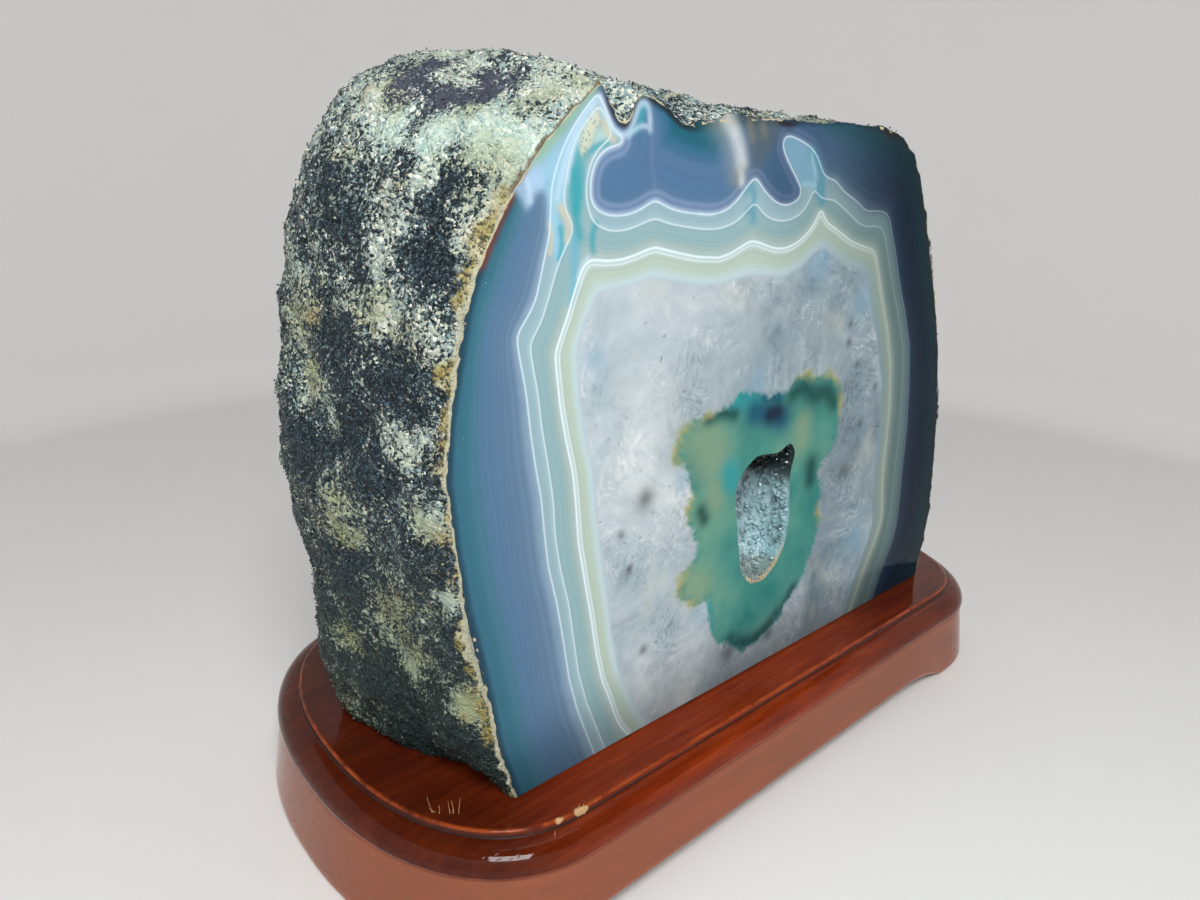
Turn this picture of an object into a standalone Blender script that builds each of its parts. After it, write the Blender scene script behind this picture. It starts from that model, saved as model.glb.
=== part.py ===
"""A banded agate with a polished front and a rough natural rind, standing on a moulded wooden stand.

Lengths are in millimetres and are scaled to metres when the meshes are made. X runs along the stand,
the polished face looks towards -Y, Z is up, and the origin is on the floor under the middle of the stand.
"""

import math

import bmesh
import bpy
import numpy as np
from mathutils import Vector, noise

MM = 0.001
GAP = 0.3
CUTTER_REACH = 160.0
CUTTER_LOW = -30.0
CUTTER_MARGIN = 4.0

# Stand
STAND_HALF_LENGTH = 100.0
STAND_HALF_DEPTH = 46.8
STAND_END_LENGTH = 31.0
STAND_ROUNDNESS = 2.25
STAND_HEIGHT = 23.3
END_STEPS = 13
FLOOR_OUTSET = 7.0
SKIRT_TOP_OUTSET = 4.7
SKIRT_TOP_Z = 17.0
ROLL_OUTSET = 5.2
ROLL_LOW_Z = 17.4
ROLL_STEPS = 6
STEP_LOW_Z = 21.8
STEP_OUTSET = 0.4
ROLL_UNDERCUT, STEP_SLOPE = 0.2, 0.1
ARRIS = 0.3
ARCH_HEIGHT = 5.1
ARCH_RISE = ((0.0, 0.0), (0.75, 0.82), (1.0, 1.0))
ARCH_LEFT_FOOT, ARCH_LEFT_CROWN = -84.0, -66.0
ARCH_RIGHT_CROWN, ARCH_RIGHT_FOOT = 43.0, 66.0

# Agate
FACE_Y = -36.7
GIRTH_Y = 5.0
BACK_Y = 39.0
SEAT_Z = STAND_HEIGHT + GAP
STONE_CENTRE = (-8.0, 86.0)
RIM_SAMPLES = 142
RIM_BLEND_FAST = 0.35
RIM_BLEND_REACH = 3.0
RIM_BLEND_POWER = 1.8
TURN_SMOOTHING, REACH_SMOOTHING = 6, 4
SIDE_DEPTHS = (0.0, 1.2, 3.0, 5.5, 9.0, 13.0, 17.5, 22.5, 28.0, 34.5, 41.7)
BACK_ANGLES = (12, 23, 34, 45, 55, 64, 72, 79, 85)
BACK_ROUNDNESS = 2.5
LUMP_SIZE, LUMP_HEIGHT = 34.0, 1.7
KNOB_SIZE, KNOB_HEIGHT, KNOB_SHIFT = 11.0, 1.9, (31.0, 7.0, 3.0)
RIDGE_SIZE, RIDGE_HEIGHT, RIDGE_LEVEL, RIDGE_SHIFT = 17.0, 1.2, 0.35, (5.0, 17.0, 11.0)
PIT_SIZE, PIT_DEPTH, PIT_LEVEL, PIT_SHIFT = 13.0, 3.0, 0.28, (2.0, 29.0, 13.0)
RIM_WAVE = 0.3
FIRST_ROW_RELIEF, ROWS_TO_FULL_RELIEF = 0.4, 5
BACK_FADE = 0.8

# Outline of the polished face as (x, z), from its lower left corner up the left edge, along the top and down
# the right edge. The last four points are below the seat and are cut away.
FACE_OUTLINE = (
    (-77.5, 23.0), (-81.6, 35.4), (-83.6, 47.3), (-85.9, 58.6), (-88.2, 69.0), (-90.0, 81.0), (-91.0, 92.5),
    (-90.2, 101.0), (-88.1, 111.3), (-86.1, 120.1), (-83.1, 127.3), (-78.2, 135.4), (-72.8, 142.1),
    (-67.0, 147.8), (-60.8, 152.9), (-58.6, 149.0), (-56.4, 146.6), (-54.6, 147.2), (-53.6, 150.2),
    (-51.8, 151.9), (-46.0, 150.2), (-43.4, 148.4), (-40.0, 147.4), (-37.4, 149.2), (-34.4, 148.4),
    (-30.0, 150.4), (-20.0, 150.0), (-8.0, 150.6), (10.0, 152.0), (24.0, 151.0), (31.5, 149.6),
    (38.3, 146.0), (44.8, 137.8), (51.3, 126.2), (58.6, 112.9), (66.8, 95.0), (72.2, 75.4), (75.6, 58.0),
    (77.2, 42.0), (76.2, 32.0), (74.6, 23.0), (66.0, 15.0), (30.0, 10.0), (-35.0, 10.0), (-70.0, 14.0),
)
# Outline of the stone at its thickest, as (x, z), the same way round.
GIRTH_OUTLINE = (
    (-90.5, 22.0), (-94.5, 46.0), (-97.0, 62.0), (-98.5, 84.0), (-98.5, 104.0), (-97.0, 121.0),
    (-93.5, 134.0), (-88.0, 145.5), (-81.0, 154.0), (-71.0, 159.2), (-58.0, 160.6), (-38.0, 158.8),
    (-20.0, 155.4), (-4.0, 152.4), (16.0, 150.6), (36.0, 148.0), (51.0, 141.5), (62.0, 129.0),
    (72.0, 110.0), (79.0, 88.0), (83.0, 62.0), (84.0, 42.0), (81.0, 22.0), (60.0, 8.0), (0.0, 2.0), (-66.0, 8.0),
)

# Pocket in the face and its crystals
POCKET_OUTLINE = (
    (-18.3, 75.0), (-15.6, 78.2), (-11.9, 80.6), (-7.6, 80.2), (-4.0, 79.6), (0.6, 81.6), (2.9, 78.6), (1.6, 74.0),
    (2.2, 68.0), (3.2, 62.0), (2.6, 55.0), (-0.4, 50.2), (-4.8, 47.2), (-10.2, 48.0), (-13.8, 52.0),
    (-15.6, 59.0), (-17.0, 66.0), (-18.2, 71.0),
)
POCKET_SHAPE = ((0.0, 1.0), (2.5, 0.99), (5.5, 0.94), (8.5, 0.82), (11.0, 0.62), (12.6, 0.34))
POCKET_DEPTH = 13.2
LEAST_RADIUS = 0.6
CRUST_RECESS = 0.8
CRUST_GAP = 0.45
CRUST_THICKNESS = 1.5
CRYSTAL_HEIGHT = (0.9, 2.1)
CRYSTAL_WIDTH = 3.0
CRYSTAL_TAPER = 0.34
CRYSTAL_SHOULDER = 0.55
CRYSTAL_LEAN = 0.3

# Materials, as (colour, roughness)
WOOD = ((0.15, 0.03, 0.01), 0.2)
STONE = ((0.33, 0.43, 0.48), 0.35)
QUARTZ = ((0.62, 0.64, 0.70), 0.15)


def clear_scene():
    for item in list(bpy.data.objects):
        bpy.data.objects.remove(item, do_unlink=True)


def material(name, colour, roughness, metallic=0.0):
    made = bpy.data.materials.new(name)
    made.use_nodes = True
    shader = made.node_tree.nodes["Principled BSDF"]
    shader.inputs["Base Color"].default_value = (*colour, 1.0)
    shader.inputs["Roughness"].default_value = roughness
    shader.inputs["Metallic"].default_value = metallic
    return made


def add_object(name, verts, faces, made_of=None):
    """An object from vertices in millimetres, with its faces turned outwards."""
    mesh = bpy.data.meshes.new(name)
    mesh.from_pydata([tuple(c * MM for c in v) for v in verts], [], faces)
    work = bmesh.new()
    work.from_mesh(mesh)
    bmesh.ops.recalc_face_normals(work, faces=work.faces)
    work.to_mesh(mesh)
    work.free()
    made = bpy.data.objects.new(name, mesh)
    bpy.context.scene.collection.objects.link(made)
    if made_of:
        mesh.materials.append(made_of)
    return made


def cut(target, cutter):
    cutter.hide_render = True
    cutter.display_type = "WIRE"
    step = target.modifiers.new("cut_" + cutter.name, "BOOLEAN")
    step.operation = "DIFFERENCE"
    step.solver = "EXACT"
    step.object = cutter


def bridge(rings, closed_ends=True):
    """Faces between equal rings of vertices numbered ring after ring, with a flat cap at each end."""
    count = len(rings[0])
    faces = []
    for row in range(len(rings) - 1):
        for i in range(count):
            j = (i + 1) % count
            low, high = row * count, (row + 1) * count
            faces.append((low + i, low + j, high + j, high + i))
    if closed_ends:
        last = (len(rings) - 1) * count
        faces.append(tuple(reversed(range(count))))
        faces.append(tuple(range(last, last + count)))
    return faces


# Stand
def stand_outline(outset):
    """The stand's plan: straight sides and full, slightly squared round ends."""
    angles = [math.pi / 2 * k / (END_STEPS - 1) for k in range(END_STEPS)]
    power = 2 / STAND_ROUNDNESS
    end = [(math.sin(a) ** power, math.cos(a) ** power) for a in angles]
    middle = STAND_HALF_LENGTH - STAND_END_LENGTH
    long, deep = STAND_END_LENGTH + outset, STAND_HALF_DEPTH + outset
    quarter = [(middle + long * u, deep * v) for u, v in end]
    right = quarter + [(x, -y) for x, y in reversed(quarter[:-1])]
    return right + [(-x, -y) for x, y in right]


def stand_profile():
    """Steps of the moulded edge from the floor to the top, as (outset, z)."""
    profile = [(FLOOR_OUTSET, 0.0), (SKIRT_TOP_OUTSET, SKIRT_TOP_Z), (ROLL_OUTSET, ROLL_LOW_Z - ROLL_UNDERCUT)]
    for k in range(ROLL_STEPS + 1):
        a = math.pi / 2 * k / ROLL_STEPS
        outset = STEP_OUTSET + (ROLL_OUTSET - STEP_OUTSET) * math.cos(a)
        profile.append((outset, ROLL_LOW_Z + (STEP_LOW_Z - ROLL_LOW_Z) * math.sin(a)))
    profile.append((0.0, STEP_LOW_Z + STEP_SLOPE))
    profile.append((0.0, STAND_HEIGHT - ARRIS))
    profile.append((-ARRIS, STAND_HEIGHT))
    return profile


def arch_outline():
    """The cut between the feet, as (x, z), reaching below the floor."""
    left = [(ARCH_LEFT_FOOT + (ARCH_LEFT_CROWN - ARCH_LEFT_FOOT) * u, ARCH_HEIGHT * v) for u, v in ARCH_RISE]
    right = [(ARCH_RIGHT_FOOT + (ARCH_RIGHT_CROWN - ARCH_RIGHT_FOOT) * u, ARCH_HEIGHT * v) for u, v in ARCH_RISE]
    return [(ARCH_LEFT_FOOT, -CUTTER_MARGIN)] + left + right[::-1] + [(ARCH_RIGHT_FOOT, -CUTTER_MARGIN)]


def build_stand(wood):
    rings = [[(x, y, z) for x, y in stand_outline(outset)] for outset, z in stand_profile()]
    stand = add_object("stand", [v for ring in rings for v in ring], bridge(rings), wood)
    sides = [[(x, y, z) for x, z in arch_outline()] for y in (-CUTTER_REACH, CUTTER_REACH)]
    cut(stand, add_object("arch_cutter", sides[0] + sides[1], bridge(sides)))
    return stand


# Agate
def along(points, count):
    """count points spaced evenly along a closed outline."""
    loop = np.array(points + points[:1])
    run = np.concatenate([[0.0], np.cumsum(np.linalg.norm(np.diff(loop, axis=0), axis=1))])
    where = np.linspace(0.0, run[-1], count, endpoint=False)
    return np.column_stack([np.interp(where, run, loop[:, k]) for k in (0, 1)])


def smooth_ring(values, passes):
    for _ in range(passes):
        values = (np.roll(values, 1, axis=0) + 2 * values + np.roll(values, -1, axis=0)) / 4
    return values


def girth_points(rim):
    """For each rim point, the point of the girth outline in the same direction from the stone's centre."""
    centre = np.array(STONE_CENTRE)
    corners = np.array(GIRTH_OUTLINE) - centre
    angle = np.arctan2(corners[:, 1], corners[:, 0])
    order = np.argsort(angle)
    radius = np.linalg.norm(corners, axis=1)
    arms = rim - centre
    turns = np.unwrap(np.arctan2(arms[:, 1], arms[:, 0]))
    steady = np.linspace(turns[0], turns[0] - 2 * math.pi, len(rim), endpoint=False)
    turns = steady + smooth_ring(turns - steady, TURN_SMOOTHING)
    wrapped = (turns + math.pi) % (2 * math.pi) - math.pi
    reach = np.interp(wrapped, angle[order], radius[order], period=2 * math.pi)
    reach = smooth_ring(reach, REACH_SMOOTHING)
    return centre + reach[:, None] * np.column_stack([np.cos(turns), np.sin(turns)])


def side_blend(depth):
    """How far the side has come from the rim of the face (0) to the girth (1) at a depth behind the face."""
    full = GIRTH_Y - FACE_Y
    quick = RIM_BLEND_FAST * (1 - math.exp(-depth / RIM_BLEND_REACH))
    slow = (1 - RIM_BLEND_FAST) * math.sin(math.pi / 2 * min(1.0, depth / full)) ** RIM_BLEND_POWER
    return quick + slow


def stone_grid():
    """Rows of the stone's surface from the rim of the face to the back."""
    rim = along(FACE_OUTLINE, RIM_SAMPLES)
    girth = girth_points(rim)
    centre = np.array(STONE_CENTRE)
    rows = []
    for depth in SIDE_DEPTHS:
        flat = rim + (girth - rim) * side_blend(depth)
        rows.append(np.column_stack([flat[:, 0], np.full(len(flat), FACE_Y + depth), flat[:, 1]]))
    for degrees in BACK_ANGLES:
        a = math.radians(degrees)
        size, reach = math.cos(a) ** (2 / BACK_ROUNDNESS), math.sin(a) ** (2 / BACK_ROUNDNESS)
        flat = centre + (girth - centre) * size
        y = GIRTH_Y + (BACK_Y - GIRTH_Y) * reach
        rows.append(np.column_stack([flat[:, 0], np.full(len(flat), y), flat[:, 1]]))
    return np.array(rows)


def grid_normals(grid):
    around = np.roll(grid, -1, axis=1) - np.roll(grid, 1, axis=1)
    back = np.gradient(grid, axis=0)
    normal = np.cross(around, back)
    return normal / (np.linalg.norm(normal, axis=2, keepdims=True) + 1e-9)


def relief(point, fine):
    """Height of the rind's lumps, knobs, ridges and pits at a point, in millimetres."""
    place = Vector(point)
    lump = noise.noise(place / LUMP_SIZE)
    knob = noise.noise(place / KNOB_SIZE + Vector(KNOB_SHIFT))
    ridge = RIDGE_LEVEL - abs(noise.noise(place / RIDGE_SIZE + Vector(RIDGE_SHIFT)))
    pit = max(0.0, noise.noise(place / PIT_SIZE + Vector(PIT_SHIFT)) - PIT_LEVEL)
    small = KNOB_HEIGHT * knob + RIDGE_HEIGHT * ridge - PIT_DEPTH * pit
    return LUMP_HEIGHT * lump + fine * small


def roughen(grid):
    """Lumps on the rind. The rim only waves within the plane of the face."""
    normal = grid_normals(grid)
    outward = math.copysign(1.0, float(normal[3, 0, 0]) * float(grid[3, 0, 0] - STONE_CENTRE[0]))
    sides = len(SIDE_DEPTHS)
    rough = grid.copy()
    for row in range(len(grid)):
        grow = RIM_WAVE if row == 0 else min(1.0, FIRST_ROW_RELIEF + row / ROWS_TO_FULL_RELIEF)
        fine = 1.0 if row < sides else math.cos(math.radians(BACK_ANGLES[row - sides])) ** BACK_FADE
        for i in range(grid.shape[1]):
            push = normal[max(row, 1), i] * relief(grid[row, i], fine) * grow
            if row == 0:
                push[1] = 0.0
            rough[row, i] += outward * push
    return rough


def agate_skin():
    """Vertices and faces of the whole stone, before its seat and its pocket are cut."""
    grid = roughen(stone_grid())
    count = grid.shape[1]
    verts = [tuple(map(float, v)) for v in grid.reshape(-1, 3)]
    faces = bridge(list(grid), closed_ends=False)
    faces.append(tuple(range(count)))
    last = len(verts) - count
    verts.append((STONE_CENTRE[0], BACK_Y, STONE_CENTRE[1]))
    faces.extend((last + i, last + (i + 1) % count, len(verts) - 1) for i in range(count))
    return verts, faces


def box_below(height, wide, low):
    corners = ((-wide, -wide), (wide, -wide), (wide, wide), (-wide, wide))
    return [[(x, y, z) for x, y in corners] for z in (low, height)]


def build_agate(stone):
    agate = add_object("agate", *agate_skin(), stone)
    block = box_below(SEAT_Z, CUTTER_REACH, CUTTER_LOW)
    cut(agate, add_object("seat_cutter", block[0] + block[1], bridge(block)))
    rings = pocket_rings(0.0)
    mouth = [(x, FACE_Y - CUTTER_MARGIN, z) for x, _, z in rings[0]]
    verts, faces = loft_to_pole([mouth] + rings, FACE_Y + POCKET_DEPTH)
    faces.append(tuple(range(len(mouth))))
    cut(agate, add_object("pocket_cutter", verts, faces))
    return agate


# Pocket
def pocket_centre():
    return np.mean(np.array(POCKET_OUTLINE), axis=0)


def pocket_rings(inset, first_depth=0.0):
    """Rings of the pocket's wall from the face inwards, moved in by inset."""
    centre = pocket_centre()
    arms = np.array(POCKET_OUTLINE) - centre
    length = np.linalg.norm(arms, axis=1, keepdims=True)
    rings = []
    for depth, size in POCKET_SHAPE:
        reach = np.maximum(length * size - inset, LEAST_RADIUS)
        flat = centre + arms / length * reach
        y = FACE_Y + max(first_depth, depth * (1 - inset / POCKET_DEPTH))
        rings.append([(float(x), y, float(z)) for x, z in flat])
    return rings


def loft_to_pole(rings, pole_y):
    centre = pocket_centre()
    verts = [v for ring in rings for v in ring]
    faces = bridge(rings, closed_ends=False)
    count = len(rings[0])
    last = len(verts) - count
    verts.append((float(centre[0]), pole_y, float(centre[1])))
    faces.extend((last + i, last + (i + 1) % count, len(verts) - 1) for i in range(count))
    return verts, faces


def inward(corners, axis):
    """Unit normal of a face of the crust, turned towards the mouth of the pocket."""
    normal = np.cross(corners[1] - corners[0], corners[-1] - corners[0])
    normal = normal / np.linalg.norm(normal)
    to_mouth = np.array([axis[0], FACE_Y, axis[1]]) - corners[0]
    return normal if normal @ to_mouth > 0 else -normal


def grow_crystal(verts, face, axis, dice):
    """A tapered crystal with a flat-faced point, grown from one face of the crust; gives its faces."""
    corners = [np.array(verts[k]) for k in face]
    middle = np.mean(corners, axis=0)
    normal = inward(corners, axis)
    room = min(1.0, np.linalg.norm(corners[1] - corners[0]) / CRYSTAL_WIDTH)
    height = dice.uniform(*CRYSTAL_HEIGHT) * room
    shoulder = [len(verts) + k for k in range(len(face))]
    for corner in corners:
        verts.append(tuple(corner + (middle - corner) * CRYSTAL_TAPER + normal * height * CRYSTAL_SHOULDER))
    verts.append(tuple(middle + normal * height + dice.uniform(-CRYSTAL_LEAN, CRYSTAL_LEAN, 3) * room))
    tip = len(verts) - 1
    sides = []
    for k in range(len(face)):
        n = (k + 1) % len(face)
        sides.append((face[k], face[n], shoulder[n], shoulder[k]))
        sides.append((shoulder[k], shoulder[n], tip))
    return sides


def build_crust(crystal):
    dice = np.random.default_rng(7)
    outer = pocket_rings(CRUST_GAP, CRUST_RECESS)
    inner = pocket_rings(CRUST_GAP + CRUST_THICKNESS, CRUST_RECESS)
    count = len(outer[0])
    verts, faces = loft_to_pole(outer, FACE_Y + POCKET_DEPTH - CRUST_GAP)
    start = len(verts)
    inside, growing = loft_to_pole(inner, FACE_Y + POCKET_DEPTH - CRUST_GAP - CRUST_THICKNESS)
    verts += inside
    faces += [(i, (i + 1) % count, start + (i + 1) % count, start + i) for i in range(count)]
    axis = pocket_centre()
    for face in growing:
        faces += grow_crystal(verts, tuple(start + k for k in face), axis, dice)
    return add_object("crystal_crust", verts, faces, crystal)


def main():
    clear_scene()
    wood = material("stand_wood", *WOOD)
    stone = material("agate_stone", *STONE)
    crystal = material("quartz_crystal", *QUARTZ)
    stand = build_stand(wood)
    agate = build_agate(stone)
    build_crust(crystal)
    for item in (stand, agate):
        for face in item.data.polygons:
            face.use_smooth = item is stand and abs(face.normal.z) < 0.99


main()
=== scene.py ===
"""The looks of a banded agate with a polished front and a rough rind, on a moulded wooden stand.

Lengths are in millimetres and are scaled to metres when the meshes are made. X runs along the stand, the polished
face looks towards -Y and Z is up.
"""
import math

import bmesh
import bpy
import numpy as np
from mathutils import Matrix, Vector, noise
from mathutils.geometry import delaunay_2d_cdt


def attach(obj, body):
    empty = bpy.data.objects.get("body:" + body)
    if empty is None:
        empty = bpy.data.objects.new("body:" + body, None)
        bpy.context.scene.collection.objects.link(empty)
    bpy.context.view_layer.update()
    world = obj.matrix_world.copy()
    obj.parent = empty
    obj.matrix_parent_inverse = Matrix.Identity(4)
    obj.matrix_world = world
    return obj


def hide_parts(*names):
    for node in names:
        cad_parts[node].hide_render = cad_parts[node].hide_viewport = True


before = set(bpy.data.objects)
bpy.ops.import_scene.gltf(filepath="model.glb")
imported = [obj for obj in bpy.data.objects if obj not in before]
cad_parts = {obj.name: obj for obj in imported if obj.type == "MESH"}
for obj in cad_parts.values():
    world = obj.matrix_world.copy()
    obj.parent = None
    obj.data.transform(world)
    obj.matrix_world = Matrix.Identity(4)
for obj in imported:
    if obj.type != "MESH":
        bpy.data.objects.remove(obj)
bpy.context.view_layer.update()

MM = 0.001

# Camera, from the lines of the stand and the face in the photograph
CAMERA_PITCH, CAMERA_YAW, CAMERA_ROLL = 18.199, 41.545, 1.733
CAMERA_PLACE = (-151.2, -140.8, 136.8)
CAMERA_LENS, CAMERA_SENSOR, CAMERA_CLIP = 24.0, 36.0, (0.001, 10.0)

# Stage
FLOOR_RADIUS, COVE_RADIUS, WALL_HEIGHT = 372.0, 26.0, 345.0
COVE_STEPS, ROUND_STEPS = 16, 96
FLOOR_COLOUR, FLOOR_ROUGHNESS, FLOOR_GLOSS = (0.85, 0.845, 0.835, 1.0), 0.6, 0.3
ROOM_LIGHT = 0.5
# Lamps as (name, place, target, size, watts)
LIGHTS = (
    ("key", (-220.0, -270.0, 420.0), (-10.0, -20.0, 70.0), (200.0, 160.0), 1.85),
    ("overhead", (40.0, 60.0, 560.0), (40.0, 60.0, 0.0), (300.0, 260.0), 0.3),
)

# Stand, as in the CAD part
STAND_HALF_LENGTH, STAND_HALF_DEPTH = 100.0, 46.8
STAND_END_LENGTH, STAND_ROUNDNESS = 31.0, 2.25
STAND_HEIGHT = 23.3
FLOOR_OUTSET, SKIRT_TOP_OUTSET, ROLL_OUTSET, STEP_OUTSET = 7.0, 4.7, 5.2, 0.4
SKIRT_TOP_Z, ROLL_LOW_Z, STEP_LOW_Z = 17.0, 17.4, 21.8
ARCH_HEIGHT, ARCH_RISE, ARCH_POWER = 5.1, 1.08, 0.9
ARCH_FEET = ((-84.0, -66.0), (66.0, 43.0))
CHIPS = ((-74.7, -46.4, 23.1, 1.2), (-70.6, -46.8, 23.0, 1.5), (-69.0, -46.9, 22.8, 1.2), (-66.5, -46.9, 23.1, 0.8),
         (-77.1, -47.4, 21.7, 0.6))
# The moulded edge as (outset, z, wear): its foot, the groove over the skirt, and the step and edge of the top
FOOT_EDGE_Z = 1.0
FOOT_EDGE = ((FLOOR_OUTSET - 0.9, 0.0, 0.2), (FLOOR_OUTSET - 0.25, 0.3, 1.0), (FLOOR_OUTSET, FOOT_EDGE_Z, 0.8))
GROOVE = ((SKIRT_TOP_OUTSET, SKIRT_TOP_Z - 0.2, 0.0), (SKIRT_TOP_OUTSET - 0.25, SKIRT_TOP_Z, -1.0),
          (ROLL_OUTSET - 0.3, ROLL_LOW_Z - 0.3, 0.0))
ROLL_WEAR = 0.9
TOP_EDGE = ((STEP_OUTSET * 0.4, STEP_LOW_Z + 0.02, -1.0), (0.05, STEP_LOW_Z + 0.15, -1.0),
            (0.0, STAND_HEIGHT - 0.55, 0.2), (-0.08, STAND_HEIGHT - 0.22, 1.0), (-0.3, STAND_HEIGHT - 0.05, 1.0),
            (-0.7, STAND_HEIGHT, 0.4), (-1.5, STAND_HEIGHT, 0.0))
SPLINTER_SEED, SPLINTER_BEND, SPLINTER_RINGS, SPLINTER_RADIUS, SPLINTER_TAPER = 5, 0.5, 6, 0.11, 0.8
# Splinters as (x, y, z, length, lean in x, lean in y)
SPLINTERS = (
    (-92.3, -29.6, 23.2, 3.6, -0.9, 0.4), (-91.8, -29.9, 23.2, 2.2, -1.6, -0.3), (-91.4, -30.6, 23.2, 1.6, 0.6, 0.5),
    (-89.8, -31.9, 23.2, 3.2, -0.3, 0.5), (-89.4, -32.3, 23.2, 2.6, 0.5, 0.2), (-88.6, -33.0, 23.2, 3.4, 0.4, 0.4),
    (-77.0, -47.4, 21.5, 1.2, 0.3, -0.5), (-70.6, -46.4, 23.1, 1.5, 0.2, -0.4), (-69.4, -46.5, 23.1, 1.1, 0.7, 0.1),
)

# Agate, as in the CAD part
FACE_Y, GIRTH_Y, BACK_Y = -36.7, 5.0, 39.0
SEAT_Z = STAND_HEIGHT + 0.3
STONE_CENTRE = (-8.0, 86.0)
CAD_RIM_SAMPLES, TURN_ROUNDING, REACH_ROUNDING = 142, 6, 4
RIM_BLEND_FAST, RIM_BLEND_REACH = 0.35, 3.0
SIDE_ROUNDNESS, BACK_ROUNDNESS, BACK_CALM = 1.8, 2.5, 0.8
LUMP_SIZE, LUMP_HEIGHT = 34.0, 1.7
KNOB_SIZE, KNOB_HEIGHT = 11.0, 1.9
RIDGE_SIZE, RIDGE_HEIGHT = 17.0, 1.2
PIT_SIZE, PIT_DEPTH, PIT_LEVEL, RIDGE_LEVEL = 13.0, 3.0, 0.28, 0.35
KNOB_SHIFT, RIDGE_SHIFT, PIT_SHIFT = Vector((31.0, 7.0, 3.0)), Vector((5.0, 17.0, 11.0)), Vector((2.0, 29.0, 13.0))
# Grit as (size, height, shift). The relief is calmer by the depth behind the face.
GRIT = ((3.6, 0.65, Vector((9.0, 1.0, 4.0))), (1.5, 0.62, Vector((3.0, 8.0, 2.0))))
GRIT_AT_RIM, GRIT_ROWS, GRIT_AT_BACK = 0.55, 8, 0.3
RIM_CALM = ((0.0, 1.2, 3.0, 5.5, 9.0), (0.3, 0.6, 0.8, 1.0, 1.0))
FACE_OUTLINE = (
    (-77.5, 23.0), (-81.6, 35.4), (-83.6, 47.3), (-85.9, 58.6), (-88.2, 69.0), (-90.0, 81.0), (-91.0, 92.5),
    (-90.2, 101.0), (-88.1, 111.3), (-86.1, 120.1), (-83.1, 127.3), (-78.2, 135.4), (-72.8, 142.1),
    (-67.0, 147.8), (-60.8, 152.9), (-58.6, 149.0), (-56.4, 146.6), (-54.6, 147.2), (-53.6, 150.2),
    (-51.8, 151.9), (-46.0, 150.2), (-43.4, 148.4), (-40.0, 147.4), (-37.4, 149.2), (-34.4, 148.4),
    (-30.0, 150.4), (-20.0, 150.0), (-8.0, 150.6), (10.0, 152.0), (24.0, 151.0), (31.5, 149.6),
    (38.3, 146.0), (44.8, 137.8), (51.3, 126.2), (58.6, 112.9), (66.8, 95.0), (72.2, 75.4), (75.6, 58.0),
    (77.2, 42.0), (76.2, 32.0), (74.6, 23.0), (66.0, 15.0), (30.0, 10.0), (-35.0, 10.0), (-70.0, 14.0),
)
GIRTH_OUTLINE = (
    (-90.5, 22.0), (-94.5, 46.0), (-97.0, 62.0), (-98.5, 84.0), (-98.5, 104.0), (-97.0, 121.0),
    (-93.5, 134.0), (-88.0, 145.5), (-81.0, 154.0), (-71.0, 159.2), (-58.0, 160.6), (-38.0, 158.8),
    (-20.0, 155.4), (-4.0, 152.4), (16.0, 150.6), (36.0, 148.0), (51.0, 141.5), (62.0, 129.0),
    (72.0, 110.0), (79.0, 88.0), (83.0, 62.0), (84.0, 42.0), (81.0, 22.0), (60.0, 8.0), (0.0, 2.0), (-66.0, 8.0),
)
POCKET_OUTLINE = (
    (-18.3, 75.0), (-15.6, 78.2), (-11.9, 80.6), (-7.6, 80.2), (-4.0, 79.6), (0.6, 81.6), (2.9, 78.6), (1.6, 74.0),
    (2.2, 68.0), (3.2, 62.0), (2.6, 55.0), (-0.4, 50.2), (-4.8, 47.2), (-10.2, 48.0), (-13.8, 52.0),
    (-15.6, 59.0), (-17.0, 66.0), (-18.2, 71.0),
)
POCKET_MIDDLE, POCKET_BOTTOM = (-7.5, 66.0), 13.2
POCKET_SHAPE = ((0.0, 1.0), (2.5, 0.99), (5.5, 0.94), (8.5, 0.82), (11.0, 0.62), (12.6, 0.34))

# Bands of the polished face, as lines of (x, z) from the seat on the left, over the top, to the seat on the right
RIM_LINE = (
    (-72.0, 8.0), (-77.5, 23.0), (-81.6, 35.4), (-83.6, 47.3), (-85.9, 58.6), (-88.2, 69.0), (-90.0, 81.0),
    (-91.0, 92.5), (-90.2, 101.0), (-88.1, 111.3), (-86.1, 120.1), (-83.1, 127.3), (-78.2, 135.4), (-72.8, 142.1),
    (-67.0, 147.8), (-60.8, 152.9), (-58.6, 149.0), (-56.4, 146.6), (-54.6, 147.2), (-53.6, 150.2),
    (-51.8, 151.9), (-46.0, 150.2), (-40.0, 147.4), (-34.4, 148.6), (-20.0, 150.0), (-8.0, 150.6), (10.0, 152.0),
    (24.0, 151.0), (31.5, 149.6), (38.3, 146.0), (44.8, 137.8), (51.3, 126.2), (58.6, 112.9), (66.8, 95.0),
    (72.2, 75.4), (75.6, 58.0), (77.2, 42.0), (76.2, 32.0), (74.6, 23.0), (70.5, 8.0),
)
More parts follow.
